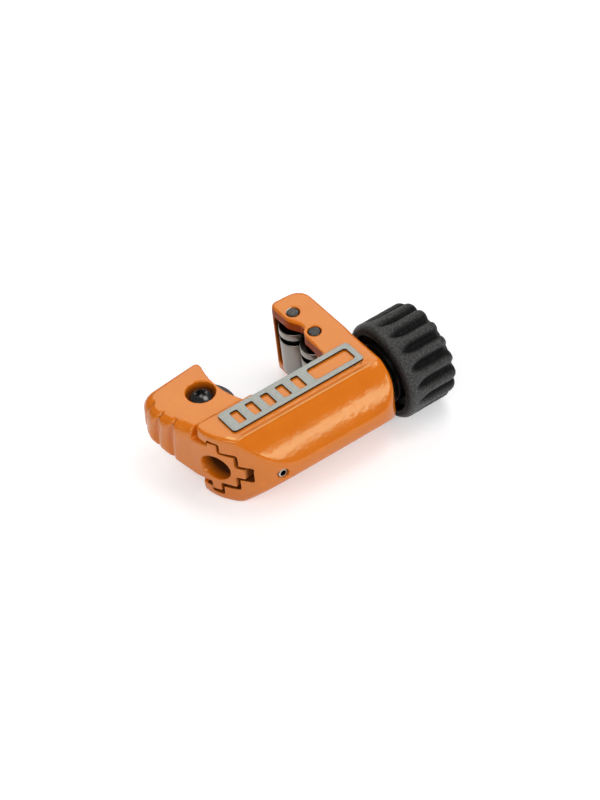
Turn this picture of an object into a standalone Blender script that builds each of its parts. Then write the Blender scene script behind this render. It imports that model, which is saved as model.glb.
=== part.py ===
"""Mini tube cutter lying on its side: a C-shaped body with two rollers, and an arm with a cutting
wheel that a knob and spindle draw towards them.

Every shape is written about the spindle: x runs along it from the open end to the knob, y from the
beam towards the jaw, z up. The empty "cutter" then lifts all of it, so that the world origin lies on
the flat underside of the body.
"""

import math

import bmesh
import bpy

# Overall sizes, in metres
BODY_HALF_HEIGHT = 0.0103
BODY_LENGTH = 0.0466
BODY_FRONT = -0.0133
BEAM_BACK = 0.0045
JAW_REACH = 0.0285
KNOB_RADIUS = 0.0127
KNOB_LENGTH = 0.0148

# Clearances
FIT = 0.0003
PRESS = 0.00015
SEAT = 0.0001

# Body: end wall, ridge and front band
END_CORNER = (-0.0010, 0.0014)
END_BREAK = (-0.0005, 0.0002, 0.014)
END_FOOT = (0.00885, 0.014)
RIGHT_CORNER_RADIUS = 0.0065
RIDGE_Y = -0.0050
BAND_HALF_HEIGHT = 0.0016
TOP_BULGE = 0.0009
UNDER_BULGE = 0.0001
EAR_END = 0.0156
EAR_WIDTH = 0.0010

# Guide channel: half height of each step and the y where it stops
STEP_HEIGHTS = (0.0082, 0.0055, 0.0021)
STEP_FLOORS = (-0.00145, -0.00515, -0.00832)
HOOK_Y = 0.0016
HOOK_GAP = 0.0070
CHANNEL_END = 0.0380

# Jaw with its two rollers
JAW_FRONT = 0.0369
JAW_WEB = 0.0023
JAW_END_WALL = 0.0017
TOP_FLANGE = 0.0031
ROLLER_TOP_GAP = 0.00115
BOTTOM_FLANGE = 0.0021
TIP_DROP = 0.0007
NOTCH_DEPTH = 0.0020
ROLLER_X = 0.0398
ROLLER_MID_Y = 0.0176
ROLLER_SPACING = 0.0089
ROLLER_RADIUS = 0.00396
ROLLER_PIN_RADIUS = 0.0015
FLARE_GROOVE_Z = 0.00322
FLARE_GROOVE_WIDTH = 0.00155
FLARE_GROOVE_DEPTH = 0.0012
PIN_RECESS = 0.0001

# Sliding arm
ARM_TOP = 0.0098
ARM_TIP_Y = 0.0238
ARM_LEFT = -0.0062
ARM_INNER = ((0.0138, 0.0), (0.0115, 0.0102), (0.0124, 0.0160))
ARM_ROOT_BOTTOM = -0.0056
ARM_TIP_BOTTOM = -0.0016
ARM_ROUNDING = 0.0030
ARM_UNDER_ROUNDING = 0.0058
ARM_CORNER_RADIUS = 0.0055
ARM_TIP_CORNER = 0.0012
RIB_PITCH = 0.00405
RIB_DEPTH = 0.0009
RIB_FIRST_Y = 0.0121
RIB_COUNT = 3
SLIDE_LENGTH = 0.0170
SLIDE_DROP_GAP = 0.0009
NECK_DROP_GAP = 0.0020
SLIDE_TONGUE_GAP = 0.0013
NECK_RIGHT = 0.0137
SLIDE_END_SLOPE = 0.47
SLIDE_END_CURVE = 16.7
SPINDLE_BORE_RADIUS = 0.00365

# Cutting wheel and its axle screw
WHEEL_X = 0.0072
WHEEL_Y = 0.0144
WHEEL_Z = 0.0045
WHEEL_RADIUS = 0.0082
WHEEL_HUB_RADIUS = 0.0042
WHEEL_HUB_THICKNESS = 0.0024
WHEEL_EDGE_THICKNESS = 0.0002
WHEEL_BUSH_RADIUS = 0.0028
AXLE_RADIUS = 0.0020
AXLE_LENGTH = 0.0090
AXLE_HEAD_RADIUS = 0.0030
AXLE_HEAD_HEIGHT = 0.0016
RECESS_RADIUS = 0.00367
RECESS_DEPTH = 0.0020

# Spindle and what holds it
THREAD_RADIUS = 0.0034
THREAD_DEPTH = 0.00055
THREAD_PITCH = 0.0015
SPINDLE_TIP_X = 0.0085
JOURNAL_RADIUS = 0.0040
SOCKET_FLATS = 0.0070
RING_RADIUS = 0.0058
RING_THICKNESS = 0.0008
WASHER_RADIUS = 0.0076
WASHER_THICKNESS = 0.0010
PAD_RADIUS = 0.0075
PAD_THICKNESS = 0.0006

# Knob
KNOB_LOBES = 16
KNOB_GROOVE_DEPTH = 0.0013
KNOB_GROOVE_START = 0.0024
KNOB_GROOVE_RUN = 0.0036
KNOB_RIM_BEVEL = 0.0016
KNOB_RIM_RADIUS = 0.0114
KNOB_END_ROUNDING = 0.0022
KNOB_END_RECESS = 0.0020
KNOB_HUB_RADIUS = 0.0078
KNOB_CUP_RADIUS = 0.0102
KNOB_CUP_DEPTH = 0.0030
INSERT_RADIUS = 0.0066
INSERT_LENGTH = 0.0110
CAP_SCREW_RADIUS = 0.0018
CAP_HEAD_RADIUS = 0.0036
CAP_HEAD_HEIGHT = 0.0018
CAP_WASHER_RADIUS = 0.0046
CAP_WASHER_THICKNESS = 0.0008

# Name plate, left without lettering, and the stop pin
PLATE_START_X = 0.0051
PLATE_END_X = 0.0430
PLATE_FRONT_Y = -0.0029
PLATE_BACK_Y = 0.0044
PLATE_THICKNESS = 0.0005
PLATE_CORNER = 0.0009
PLATE_WINDOW_INSET = 0.0014
PLATE_WINDOW_LENGTH = 0.0118
PLATE_BARS = 5
PLATE_BAR_WIDTH = 0.0022
STOP_PIN_X = 0.0114
STOP_PIN_RADIUS = 0.0012
STOP_PIN_BORE = 0.0007
STOP_PIN_REACH = 0.0009
STOP_PIN_SLIT = 0.0005
OPENING_SPARE = 0.0008

# Where the world origin lies along the spindle
ORIGIN_X = 0.0240

OVERSHOOT = 0.002
ARC_STEP = math.radians(12)


def clear_scene():
    for thing in list(bpy.data.objects):
        bpy.data.objects.remove(thing, do_unlink=True)


def material(name, colour, roughness, metallic=0.0):
    finish = bpy.data.materials.new(name)
    finish.use_nodes = True
    shader = finish.node_tree.nodes["Principled BSDF"]
    shader.inputs["Base Color"].default_value = (*colour, 1.0)
    shader.inputs["Roughness"].default_value = roughness
    shader.inputs["Metallic"].default_value = metallic
    return finish


def fillet(corners):
    """Outline through (x, y, radius) corners, each one rounded by an arc."""
    outline = []
    for i, (x, y, radius) in enumerate(corners):
        before = corners[i - 1]
        after = corners[(i + 1) % len(corners)]
        if radius <= 0:
            outline.append((x, y))
            continue
        to_before = math.atan2(before[1] - y, before[0] - x)
        to_after = math.atan2(after[1] - y, after[0] - x)
        opening = (to_after - to_before) % (2 * math.pi)
        sign = 1 if opening > math.pi else -1
        half = min(opening, 2 * math.pi - opening) / 2
        reach = radius / math.sin(half)
        middle = to_before + sign * -half
        centre = (x + reach * math.cos(middle), y + reach * math.sin(middle))
        first = to_before + sign * math.pi / 2
        turn = math.pi - 2 * half
        steps = max(2, math.ceil(turn / ARC_STEP))
        for k in range(steps + 1):
            a = first + sign * turn * k / steps
            outline.append((centre[0] + radius * math.cos(a), centre[1] + radius * math.sin(a)))
    return outline


def arc_through(a, b, c, steps):
    """Points along the circle arc from a to c that passes through b."""
    (ax, ay), (bx, by), (cx, cy) = a, b, c
    d = 2 * (ax * (by - cy) + bx * (cy - ay) + cx * (ay - by))
    ux = (ax * ax + ay * ay) * (by - cy) + (bx * bx + by * by) * (cy - ay)
    ux = (ux + (cx * cx + cy * cy) * (ay - by)) / d
    uy = (ax * ax + ay * ay) * (cx - bx) + (bx * bx + by * by) * (ax - cx)
    uy = (uy + (cx * cx + cy * cy) * (bx - ax)) / d
    radius = math.hypot(ax - ux, ay - uy)
    first = math.atan2(ay - uy, ax - ux)
    through = (math.atan2(by - uy, bx - ux) - first) % (2 * math.pi)
    turn = (math.atan2(cy - uy, cx - ux) - first) % (2 * math.pi)
    if through > turn:
        turn -= 2 * math.pi
    angles = [first + turn * k / steps for k in range(steps + 1)]
    return [(ux + radius * math.cos(t), uy + radius * math.sin(t)) for t in angles]


def circle(x, y, radius, count):
    angles = [2 * math.pi * k / count for k in range(count)]
    return [(x + radius * math.cos(t), y + radius * math.sin(t)) for t in angles]


def star(radius, inner, points):
    """Outline of a six-lobed driver socket, or of any star."""
    outline = []
    for k in range(2 * points):
        r = inner if k % 2 else radius
        outline.append((r * math.cos(math.pi * k / points), r * math.sin(math.pi * k / points)))
    return outline


def placed(axis, u, v, along):
    """A point of an outline (u, v) at a distance along the axis that the outline is extruded on."""
    return {"x": (along, u, v), "y": (v, along, u), "z": (u, v, along)}[axis]


def prism(outline, axis, low, high):
    """Outline extruded from low to high: (y, z) along x, (z, x) along y or (x, y) along z."""
    bm = bmesh.new()
    lower = [bm.verts.new(placed(axis, u, v, low)) for u, v in outline]
    upper = [bm.verts.new(placed(axis, u, v, high)) for u, v in outline]
    bm.faces.new(lower)
    bm.faces.new(upper)
    for i in range(len(outline)):
        j = (i + 1) % len(outline)
        bm.faces.new((lower[i], lower[j], upper[j], upper[i]))
    return bm


def box(low, high):
    (x0, y0, z0), (x1, y1, z1) = low, high
    return prism([(x0, y0), (x1, y0), (x1, y1), (x0, y1)], "z", z0, z1)


def turned(profile, axis, centre, segments, closed=False):
    """A profile of (along, radius) turned about an axis through centre (u, v). A closed profile is a
    ring, and any other one is a solid whose ends are flat."""
    bm = bmesh.new()
    rings = []
    for along, radius in profile:
        points = circle(centre[0], centre[1], radius, segments)
        rings.append([bm.verts.new(placed(axis, u, v, along)) for u, v in points])
    pairs = list(zip(rings, rings[1:]))
    if closed:
        pairs.append((rings[-1], rings[0]))
    else:
        bm.faces.new(rings[0])
        bm.faces.new(rings[-1])
    for one, two in pairs:
        for i in range(segments):
            j = (i + 1) % segments
            bm.faces.new((one[i], one[j], two[j], two[i]))
    return bm


def loft(levels):
    """Closed outlines of equal length, one above the other, skinned and capped."""
    bm = bmesh.new()
    rings = [[bm.verts.new(point) for point in level] for level in levels]
    bm.faces.new(rings[0])
    bm.faces.new(rings[-1])
    for one, two in zip(rings, rings[1:]):
        for i in range(len(one)):
            j = (i + 1) % len(one)
            bm.faces.new((one[i], one[j], two[j], two[i]))
    return bm


def solid(name, bm, finish=None):
    """An object for the mesh, under the cutter's empty. One with no finish is a cutter or a filler."""
    bmesh.ops.recalc_face_normals(bm, faces=bm.faces)
    mesh = bpy.data.meshes.new(name)
    bm.to_mesh(mesh)
    bm.free()
    thing = bpy.data.objects.new(name, mesh)
    bpy.context.scene.collection.objects.link(thing)
    thing.parent = bpy.data.objects["cutter"]
    if finish:
        mesh.materials.append(finish)
        mesh.shade_smooth()
        mesh.set_sharp_from_angle(angle=math.radians(35))
    else:
        thing.hide_render = True
        thing.display_type = "WIRE"
    return thing


def combine(thing, operation, other):
    step = thing.modifiers.new(other.name, "BOOLEAN")
    step.operation = operation
    step.solver = "EXACT"
    step.object = other


def cut(thing, name, bm):
    combine(thing, "DIFFERENCE", solid(name, bm))


def roller_places():
    """Name and y of each roller, the outer one nearer the jaw's tip."""
    return (
        ("outer", ROLLER_MID_Y + ROLLER_SPACING / 2),
        ("inner", ROLLER_MID_Y - ROLLER_SPACING / 2),
    )


def body_outline():
    """The body seen from above, anticlockwise from the lip at the open end."""
    lip = BEAM_BACK + EAR_WIDTH
    end_x, end_radius = END_CORNER
    foot_x, foot_radius = END_FOOT
    return fillet(
        [
            (end_x, lip, end_radius),
            END_BREAK,
            (foot_x, BODY_FRONT, foot_radius),
            (BODY_LENGTH, BODY_FRONT, RIGHT_CORNER_RADIUS),
            (BODY_LENGTH, JAW_REACH - TIP_DROP, 0.0040),
            (JAW_FRONT, JAW_REACH, 0.0018),
            (JAW_FRONT, ROLLER_MID_Y + 0.0030, 0.0015),
            (JAW_FRONT + NOTCH_DEPTH, ROLLER_MID_Y - 0.0010, 0.0008),
            (JAW_FRONT, ROLLER_MID_Y - 0.0042, 0.0010),
            (JAW_FRONT, BEAM_BACK, 0.0015),
            (EAR_END + EAR_WIDTH, BEAM_BACK, 0.0004),
            (EAR_END, lip, 0.0008),
        ]
    )


def body_section():
    """The body seen along the spindle: flat faces, and slopes that bulge from ridge to front band."""
    top = BODY_HALF_HEIGHT
    ridge = (RIDGE_Y, top)
    band = (BODY_FRONT, BAND_HALF_HEIGHT)
    chord = math.dist(ridge, band)
    out = ((band[1] - ridge[1]) / chord, (ridge[0] - band[0]) / chord)

    def side(bulge):
        middle = (
            (ridge[0] + band[0]) / 2 + bulge * out[0],
            (ridge[1] + band[1]) / 2 + bulge * out[1],
        )
        slope = arc_through(ridge, middle, band, 10)
        past = (2 * slope[-1][0] - slope[-2][0], 2 * slope[-1][1] - slope[-2][1])
        return [(JAW_REACH + OVERSHOOT, top)] + slope + [past]

    return side(TOP_BULGE) + [(y, -z) for y, z in reversed(side(UNDER_BULGE))]


def channel_section():
    """The stepped guide channel seen along the spindle, open towards the jaw."""
    upper = [(BEAM_BACK + EAR_WIDTH + OVERSHOOT, HOOK_GAP), (HOOK_Y, HOOK_GAP)]
    start = HOOK_Y
    for height, floor in zip(STEP_HEIGHTS, STEP_FLOORS):
        upper += [(start, height), (floor, height)]
        start = floor
    return upper + [(y, -z) for y, z in reversed(upper)]


def make_body(finish):
    top = BODY_HALF_HEIGHT
    body = solid("body", prism(body_outline(), "z", -top, top), finish)
    section = prism(body_section(), "x", -0.01, BODY_LENGTH + 0.01)
    combine(body, "INTERSECT", solid("body_section", section))
    channel = prism(channel_section(), "x", -0.01, CHANNEL_END)
    combine(body, "DIFFERENCE", solid("guide_channel", channel))
    pocket_y0 = ROLLER_MID_Y - ROLLER_SPACING / 2 - ROLLER_RADIUS - FIT
    pocket = box(
        (JAW_FRONT - 0.005, pocket_y0, BOTTOM_FLANGE - top),
        (BODY_LENGTH - JAW_WEB, JAW_REACH - JAW_END_WALL, top - TOP_FLANGE),
    )
    cut(body, "roller_pocket", pocket)
    for side, y in roller_places():
        hole = circle(ROLLER_X, y, ROLLER_PIN_RADIUS + PRESS, 24)
        bore = prism(hole, "z", -top - OVERSHOOT, top + OVERSHOOT)
        cut(body, "roller_hole_" + side, bore)
    journal = circle(0, 0, JOURNAL_RADIUS + FIT, 24)
    cut(body, "spindle_hole", prism(journal, "x", CHANNEL_END - OVERSHOOT, BODY_LENGTH + OVERSHOOT))
    seat = circle(0, 0, RING_RADIUS + FIT, 24)
    deep = CHANNEL_END + RING_THICKNESS + 2 * FIT
    cut(body, "ring_seat", prism(seat, "x", CHANNEL_END - OVERSHOOT, deep))
    stop = circle(0, STOP_PIN_X, STOP_PIN_RADIUS + PRESS, 20)
    cut(body, "stop_pin_hole", prism(stop, "y", BODY_FRONT - OVERSHOOT, STEP_FLOORS[-1] + OVERSHOOT))
    return body


def make_plate(finish):
    """Raised plate on top: a plain window and a row of plain bars where the body's paint shows."""
    low = BODY_HALF_HEIGHT + SEAT
    high = low + PLATE_THICKNESS
    front, back = PLATE_FRONT_Y, PLATE_BACK_Y

    def panel(x0, x1, y0, y1, corner):
        return fillet([(x0, y0, corner), (x1, y0, corner), (x1, y1, corner), (x0, y1, corner)])

    outline = panel(PLATE_START_X, PLATE_END_X, front, back, PLATE_CORNER)
    plate = solid("name_plate", prism(outline, "z", low, high), finish)
    inset = PLATE_WINDOW_INSET
    end = PLATE_END_X - inset
    start = end - PLATE_WINDOW_LENGTH
    windows = [panel(start, end, front + inset, back - inset, PLATE_CORNER)]
    room = start - inset - (PLATE_START_X + inset)
    step = room / PLATE_BARS
    for k in range(PLATE_BARS):
        middle = PLATE_START_X + inset + step * (k + 0.5)
        x0 = middle - PLATE_BAR_WIDTH / 2
        x1 = middle + PLATE_BAR_WIDTH / 2
        windows.append(panel(x0, x1, front + inset, back - inset, PLATE_CORNER / 2))
    for k, window in enumerate(windows):
        cut(plate, f"plate_window_{k}", prism(window, "z", low - OVERSHOOT, high + OVERSHOOT))


def make_stop_pin(finish):
    """Rolled spring pin through the front wall, whose tip keeps the slide from leaving the channel."""
    tip = STEP_FLOORS[-1] + STOP_PIN_REACH
    foot = BODY_FRONT + 0.0012
    chamfer = 0.0002
    profile = [
        (foot, STOP_PIN_BORE),
        (tip, STOP_PIN_BORE),
        (tip, STOP_PIN_RADIUS - chamfer),
        (tip - chamfer, STOP_PIN_RADIUS),
        (foot + chamfer, STOP_PIN_RADIUS),
        (foot, STOP_PIN_RADIUS - chamfer),
    ]
    pin = solid("stop_pin", turned(profile, "y", (0, STOP_PIN_X), 20, closed=True), finish)
    half = STOP_PIN_SLIT / 2
    slit = box(
        (STOP_PIN_X - half, foot - OVERSHOOT, -STOP_PIN_RADIUS - OVERSHOOT),
        (STOP_PIN_X + half, tip + OVERSHOOT, 0),
    )
    cut(pin, "stop_pin_slit", slit)


def make_rollers(steel, dark_steel):
    """Two rollers with a flare groove, each on a plain pin through both flanges."""
    low = BOTTOM_FLANGE - BODY_HALF_HEIGHT + FIT
    high = BODY_HALF_HEIGHT - TOP_FLANGE - ROLLER_TOP_GAP
    groove_low = FLARE_GROOVE_Z - FLARE_GROOVE_WIDTH / 2
    groove_high = FLARE_GROOVE_Z + FLARE_GROOVE_WIDTH / 2
    bore = ROLLER_PIN_RADIUS + FIT
    chamfer = 0.0003
    r = ROLLER_RADIUS
    roller = [
        (low, bore),
        (low, r - chamfer),
        (low + chamfer, r),
        (groove_low, r),
        (groove_low, r - FLARE_GROOVE_DEPTH),
        (groove_high, r - FLARE_GROOVE_DEPTH),
        (groove_high, r),
        (high - chamfer, r),
        (high, r - chamfer),
        (high, bore),
    ]
    end = BODY_HALF_HEIGHT - PIN_RECESS
    pin = [
        (-end, ROLLER_PIN_RADIUS - chamfer / 2),
        (chamfer / 2 - end, ROLLER_PIN_RADIUS),
        (end - chamfer / 2, ROLLER_PIN_RADIUS),
        (end, ROLLER_PIN_RADIUS - chamfer / 2),
    ]
    for side, y in roller_places():
        place = (ROLLER_X, y)
        solid("roller_" + side, turned(roller, "z", place, 32, closed=True), steel)
        solid("roller_pin_" + side, turned(pin, "z", place, 24), dark_steel)


def slide_end(y):
    """x of the slide's swept end face at a given y."""
    return SLIDE_END_SLOPE * -y + SLIDE_END_CURVE * y * y


def slide_section():
    """The slide seen along the spindle: it fills the channel, with more room below than above."""
    neck_y = BEAM_BACK + EAR_WIDTH + 2 * FIT
    upper = [(neck_y, HOOK_GAP - FIT), (HOOK_Y - FIT, HOOK_GAP - FIT)]
    neck_low = NECK_DROP_GAP - HOOK_GAP
    lower = [(neck_y, neck_low), (HOOK_Y - FIT, neck_low)]
    start = HOOK_Y - FIT
    for height, floor in zip(STEP_HEIGHTS, STEP_FLOORS):
        last = floor == STEP_FLOORS[-1]
        stop = floor + (SLIDE_TONGUE_GAP if last else FIT)
        drop = min(SLIDE_DROP_GAP, height / 3)
        upper += [(start, height - FIT), (stop, height - FIT)]
        lower += [(start, drop - height), (stop, drop - height)]
        start = stop
    return upper + lower[::-1]


def slide_outline():
    """The slide seen from above, with its swept end, the neck and the lug that the stop pin meets."""
    neck_y = BEAM_BACK + EAR_WIDTH + 2 * FIT
    tongue_y = STEP_FLOORS[-1] + SLIDE_TONGUE_GAP
    ys = [neck_y + (tongue_y - neck_y) * k / 12 for k in range(13)]
    end = [(slide_end(y), y) for y in ys]
    neck_edge = HOOK_Y + 0.0025
    return end + [
        (SLIDE_LENGTH, tongue_y),
        (SLIDE_LENGTH, neck_edge),
        (NECK_RIGHT, neck_edge),
        (NECK_RIGHT, neck_y),
    ]


def arm_outline():
    """Points (x, y, nx, ny, rounding share, rib depth) round the arm's head, seen from above."""
    front = BEAM_BACK + EAR_WIDTH + FIT
    inner = [(x, front + y) for x, y in ARM_INNER]
    edge = arc_through(*inner, 10)
    tip_x = edge[-1][0] + 0.0001
    corners = fillet(
        [
            (tip_x, front, 0),
            (tip_x, ARM_TIP_Y, ARM_TIP_CORNER),
            (ARM_LEFT, ARM_TIP_Y - 0.0006, ARM_CORNER_RADIUS),
            (ARM_LEFT, front, 0),
        ]
    )[1:-1]
    side_top = corners[-1][1]
    count = 40
    side = []
    for k in range(1, count + 1):
        y = side_top + (front - side_top) * k / count
        bow = (side_top - y) / (side_top - front)
        side.append((ARM_LEFT + (slide_end(front) - ARM_LEFT) * bow**1.2, y))
    points = edge + corners + side
    rows = []
    for i, (x, y) in enumerate(points):
        ahead = points[(i + 1) % len(points)]
        behind = points[i - 1]
        along = (ahead[0] - behind[0], ahead[1] - behind[1])
        size = math.hypot(*along)
        on_edge = i < len(edge)
        on_side = i >= len(edge) + len(corners)
        share = 0.15 if on_edge else min(1.0, 0.3 + 0.7 * (tip_x - x) / (tip_x - ARM_LEFT))
        depth = rib_depth(y) if on_side else 0.0
        normal = (along[1] / size, -along[0] / size)
        if i == 0:
            normal = (1.0, 0.0)
        if i == len(points) - 1:
            normal = (-1.0, 0.0)
        rows.append((x, y, *normal, share, depth))
    return rows


def rib_depth(y):
    """How far the ribbed side is cut back at y: nothing on a rib's crown, most in a valley."""
    last = RIB_FIRST_Y + RIB_PITCH * (RIB_COUNT - 1)
    if y < RIB_FIRST_Y:
        fade = max(0.0, 1 - (RIB_FIRST_Y - y) / (RIB_PITCH / 2))
        return RIB_DEPTH * fade**2
    if y > last:
        return RIB_DEPTH * max(0.0, 1 - (y - last) / (RIB_PITCH / 2)) ** 2
    across = (y - RIB_FIRST_Y) / RIB_PITCH % 1
    return RIB_DEPTH * (2 * across - 1) ** 2


def make_arm(finish):
    rows = arm_outline()
    front = BEAM_BACK + EAR_WIDTH + FIT
    fall = (ARM_TIP_BOTTOM - ARM_ROOT_BOTTOM) / (ARM_TIP_Y - front)
    turns = [math.pi / 2 * k / 5 for k in range(6)]
    levels = []
    for turn in reversed(turns):
        level = []
        for x, y, nx, ny, share, depth in rows:
            under = share * ARM_UNDER_ROUNDING * (0.25 + 0.75 * (y - front) / (ARM_TIP_Y - front))
            inward = max(under * (1 - math.cos(turn)), depth)
            px, py = x - nx * inward, max(front, y - ny * inward)
            bottom = ARM_ROOT_BOTTOM + fall * (py - front)
            level.append((px, py, bottom + under * (1 - math.sin(turn))))
        levels.append(level)
    for turn in turns:
        level = []
        for x, y, nx, ny, share, depth in rows:
            inward = max(share * ARM_ROUNDING * (1 - math.cos(turn)), depth)
            px, py = x - nx * inward, max(front, y - ny * inward)
            level.append((px, py, ARM_TOP - share * ARM_ROUNDING * (1 - math.sin(turn))))
        levels.append(level)
    arm = solid("sliding_arm", loft(levels), finish)
    slide = solid("slide", prism(slide_section(), "x", -0.01, SLIDE_LENGTH + 0.01))
    plan = prism(slide_outline(), "z", -BODY_HALF_HEIGHT, BODY_HALF_HEIGHT)
    combine(slide, "INTERSECT", solid("slide_outline", plan))
    combine(arm, "UNION", slide)
    lug_left = STOP_PIN_X + STOP_PIN_RADIUS + OPENING_SPARE
    tongue = STEP_HEIGHTS[-1]
    lug = box(
        (lug_left, STEP_FLOORS[-1] + FIT, SLIDE_DROP_GAP - tongue),
        (SLIDE_LENGTH, STEP_FLOORS[-1] + SLIDE_TONGUE_GAP + 0.001, tongue - FIT),
    )
    combine(arm, "UNION", solid("slide_lug", lug))
    bore = circle(0, 0, SPINDLE_BORE_RADIUS, 32)
    cut(arm, "spindle_bore", prism(bore, "x", -0.02, SLIDE_LENGTH + OVERSHOOT))
    gap = WHEEL_HUB_THICKNESS / 2 + FIT
    pocket_radius = WHEEL_RADIUS + FIT
    pocket = circle(WHEEL_X, WHEEL_Y, pocket_radius, 48)
    cut(arm, "wheel_pocket", prism(pocket, "z", WHEEL_Z - gap, WHEEL_Z + gap))
    recess = circle(WHEEL_X, WHEEL_Y, RECESS_RADIUS, 36)
    cut(arm, "screw_recess", prism(recess, "z", ARM_TOP - RECESS_DEPTH, ARM_TOP + OVERSHOOT))
    shank = circle(WHEEL_X, WHEEL_Y, AXLE_RADIUS + PRESS, 24)
    bottom = ARM_TOP - RECESS_DEPTH - AXLE_LENGTH - FIT
    cut(arm, "axle_hole", prism(shank, "z", bottom, ARM_TOP))


def make_wheel(dark_steel, brass, black):
    place = (WHEEL_X, WHEEL_Y)
    half = WHEEL_HUB_THICKNESS / 2
    edge = WHEEL_EDGE_THICKNESS / 2
    step = WHEEL_HUB_THICKNESS / 4
    bush = WHEEL_BUSH_RADIUS
    profile = [
        (WHEEL_Z - half, bush + PRESS),
        (WHEEL_Z - half, WHEEL_HUB_RADIUS),
        (WHEEL_Z - step, WHEEL_HUB_RADIUS),
        (WHEEL_Z - step, WHEEL_RADIUS - 0.0016),
        (WHEEL_Z - edge, WHEEL_RADIUS),
        (WHEEL_Z + edge, WHEEL_RADIUS),
        (WHEEL_Z + step, WHEEL_RADIUS - 0.0016),
        (WHEEL_Z + step, WHEEL_HUB_RADIUS),
        (WHEEL_Z + half, WHEEL_HUB_RADIUS),
        (WHEEL_Z + half, bush + PRESS),
    ]
    solid("cutter_wheel", turned(profile, "z", place, 48, closed=True), dark_steel)
    sleeve = [
        (WHEEL_Z - half, AXLE_RADIUS + PRESS),
        (WHEEL_Z - half, bush),
        (WHEEL_Z + half, bush),
        (WHEEL_Z + half, AXLE_RADIUS + PRESS),
    ]
    solid("wheel_bush", turned(sleeve, "z", place, 24, closed=True), brass)
    seat = ARM_TOP - RECESS_DEPTH + SEAT
    top = seat + AXLE_HEAD_HEIGHT
    profile = [
        (seat - AXLE_LENGTH, AXLE_RADIUS - 0.0004),
        (seat - AXLE_LENGTH + 0.0004, AXLE_RADIUS),
        (seat, AXLE_RADIUS),
        (seat, AXLE_HEAD_RADIUS),
        (seat + AXLE_HEAD_HEIGHT * 0.45, AXLE_HEAD_RADIUS),
        (seat + AXLE_HEAD_HEIGHT * 0.8, AXLE_HEAD_RADIUS * 0.88),
        (top, AXLE_HEAD_RADIUS * 0.62),
    ]
    screw = solid("wheel_axle_screw", turned(profile, "z", place, 32), black)
    socket = [(WHEEL_X + x, WHEEL_Y + y) for x, y in star(0.0014, 0.0010, 6)]
    cut(screw, "axle_socket", prism(socket, "z", top - 0.0010, top + OVERSHOOT))


def threaded(start, end, segments, per_turn):
    """Rings of a thread from start to end: the radius follows a helix of ridges."""
    count = round((end - start) / THREAD_PITCH * per_turn)
    rings = []
    for i in range(count + 1):
        x = start + (end - start) * i / count
        ring = []
        for k in range(segments):
            phase = ((x - start) / THREAD_PITCH - k / segments) % 1
            ridge = 1 - abs(2 * phase - 1)
            run_in = min(1.0, i / per_turn, (count - i) / per_turn)
            radius = THREAD_RADIUS - THREAD_DEPTH * (1 - ridge * run_in)
            angle = 2 * math.pi * k / segments
            ring.append((x, radius * math.cos(angle), radius * math.sin(angle)))
        rings.append(ring)
    return rings


def make_spindle(steel, spring_steel, black):
    """Threaded spindle with its journal and hexagon end, and the ring and washers that hold it."""
    segments = 18
    journal_start = CHANNEL_END + FIT
    rings = threaded(SPINDLE_TIP_X, journal_start - 0.0006, segments, 4)

    def round_ring(x, radius):
        return [(x, u, v) for u, v in circle(0, 0, radius, segments)]

    def hexagon_ring(x):
        ring = []
        for k in range(segments):
            angle = 2 * math.pi * k / segments
            away = (angle + math.pi / 6) % (math.pi / 3) - math.pi / 6
            radius = SOCKET_FLATS / 2 / math.cos(away)
            ring.append((x, radius * math.cos(angle), radius * math.sin(angle)))
        return ring

    groove = CHANNEL_END + FIT / 2
    waist = THREAD_RADIUS - THREAD_DEPTH
    knob_x = knob_start()
    hexagon_end = knob_x + INSERT_LENGTH - 0.0012
    rings += [
        round_ring(groove + RING_THICKNESS + FIT, waist),
        round_ring(groove + RING_THICKNESS + FIT, JOURNAL_RADIUS),
        round_ring(knob_x, JOURNAL_RADIUS),
        hexagon_ring(knob_x),
        hexagon_ring(hexagon_end),
    ]
    spindle = solid("spindle", loft(rings), steel)
    tapped = circle(0, 0, CAP_SCREW_RADIUS + PRESS, 18)
    depth = hexagon_end - 0.0065
    cut(spindle, "cap_screw_hole", prism(tapped, "x", depth, hexagon_end + OVERSHOOT))
    ring = [
        (groove, waist + PRESS),
        (groove, RING_RADIUS),
        (groove + RING_THICKNESS, RING_RADIUS),
        (groove + RING_THICKNESS, waist + PRESS),
    ]
    clip = solid("retaining_ring", turned(ring, "x", (0, 0), 30, closed=True), spring_steel)
    cut(clip, "ring_gap", box((groove - 0.001, 0.0, -0.0012), (groove + 0.003, 0.01, 0.0012)))
    washer_x = BODY_LENGTH + SEAT
    washer = [
        (washer_x, JOURNAL_RADIUS + FIT),
        (washer_x, WASHER_RADIUS),
        (washer_x + WASHER_THICKNESS, WASHER_RADIUS),
        (washer_x + WASHER_THICKNESS, JOURNAL_RADIUS + FIT),
    ]
    solid("thrust_washer", turned(washer, "x", (0, 0), 40, closed=True), steel)
    pad_x = washer_x + WASHER_THICKNESS + SEAT
    pad = [
        (pad_x, JOURNAL_RADIUS + FIT),
        (pad_x, PAD_RADIUS),
        (pad_x + PAD_THICKNESS, PAD_RADIUS),
        (pad_x + PAD_THICKNESS, JOURNAL_RADIUS + FIT),
    ]
    solid("friction_washer", turned(pad, "x", (0, 0), 32, closed=True), black)


def knob_start():
    """x of the knob's rim, next to the friction washer."""
    return BODY_LENGTH + WASHER_THICKNESS + PAD_THICKNESS + 3 * SEAT


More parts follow.
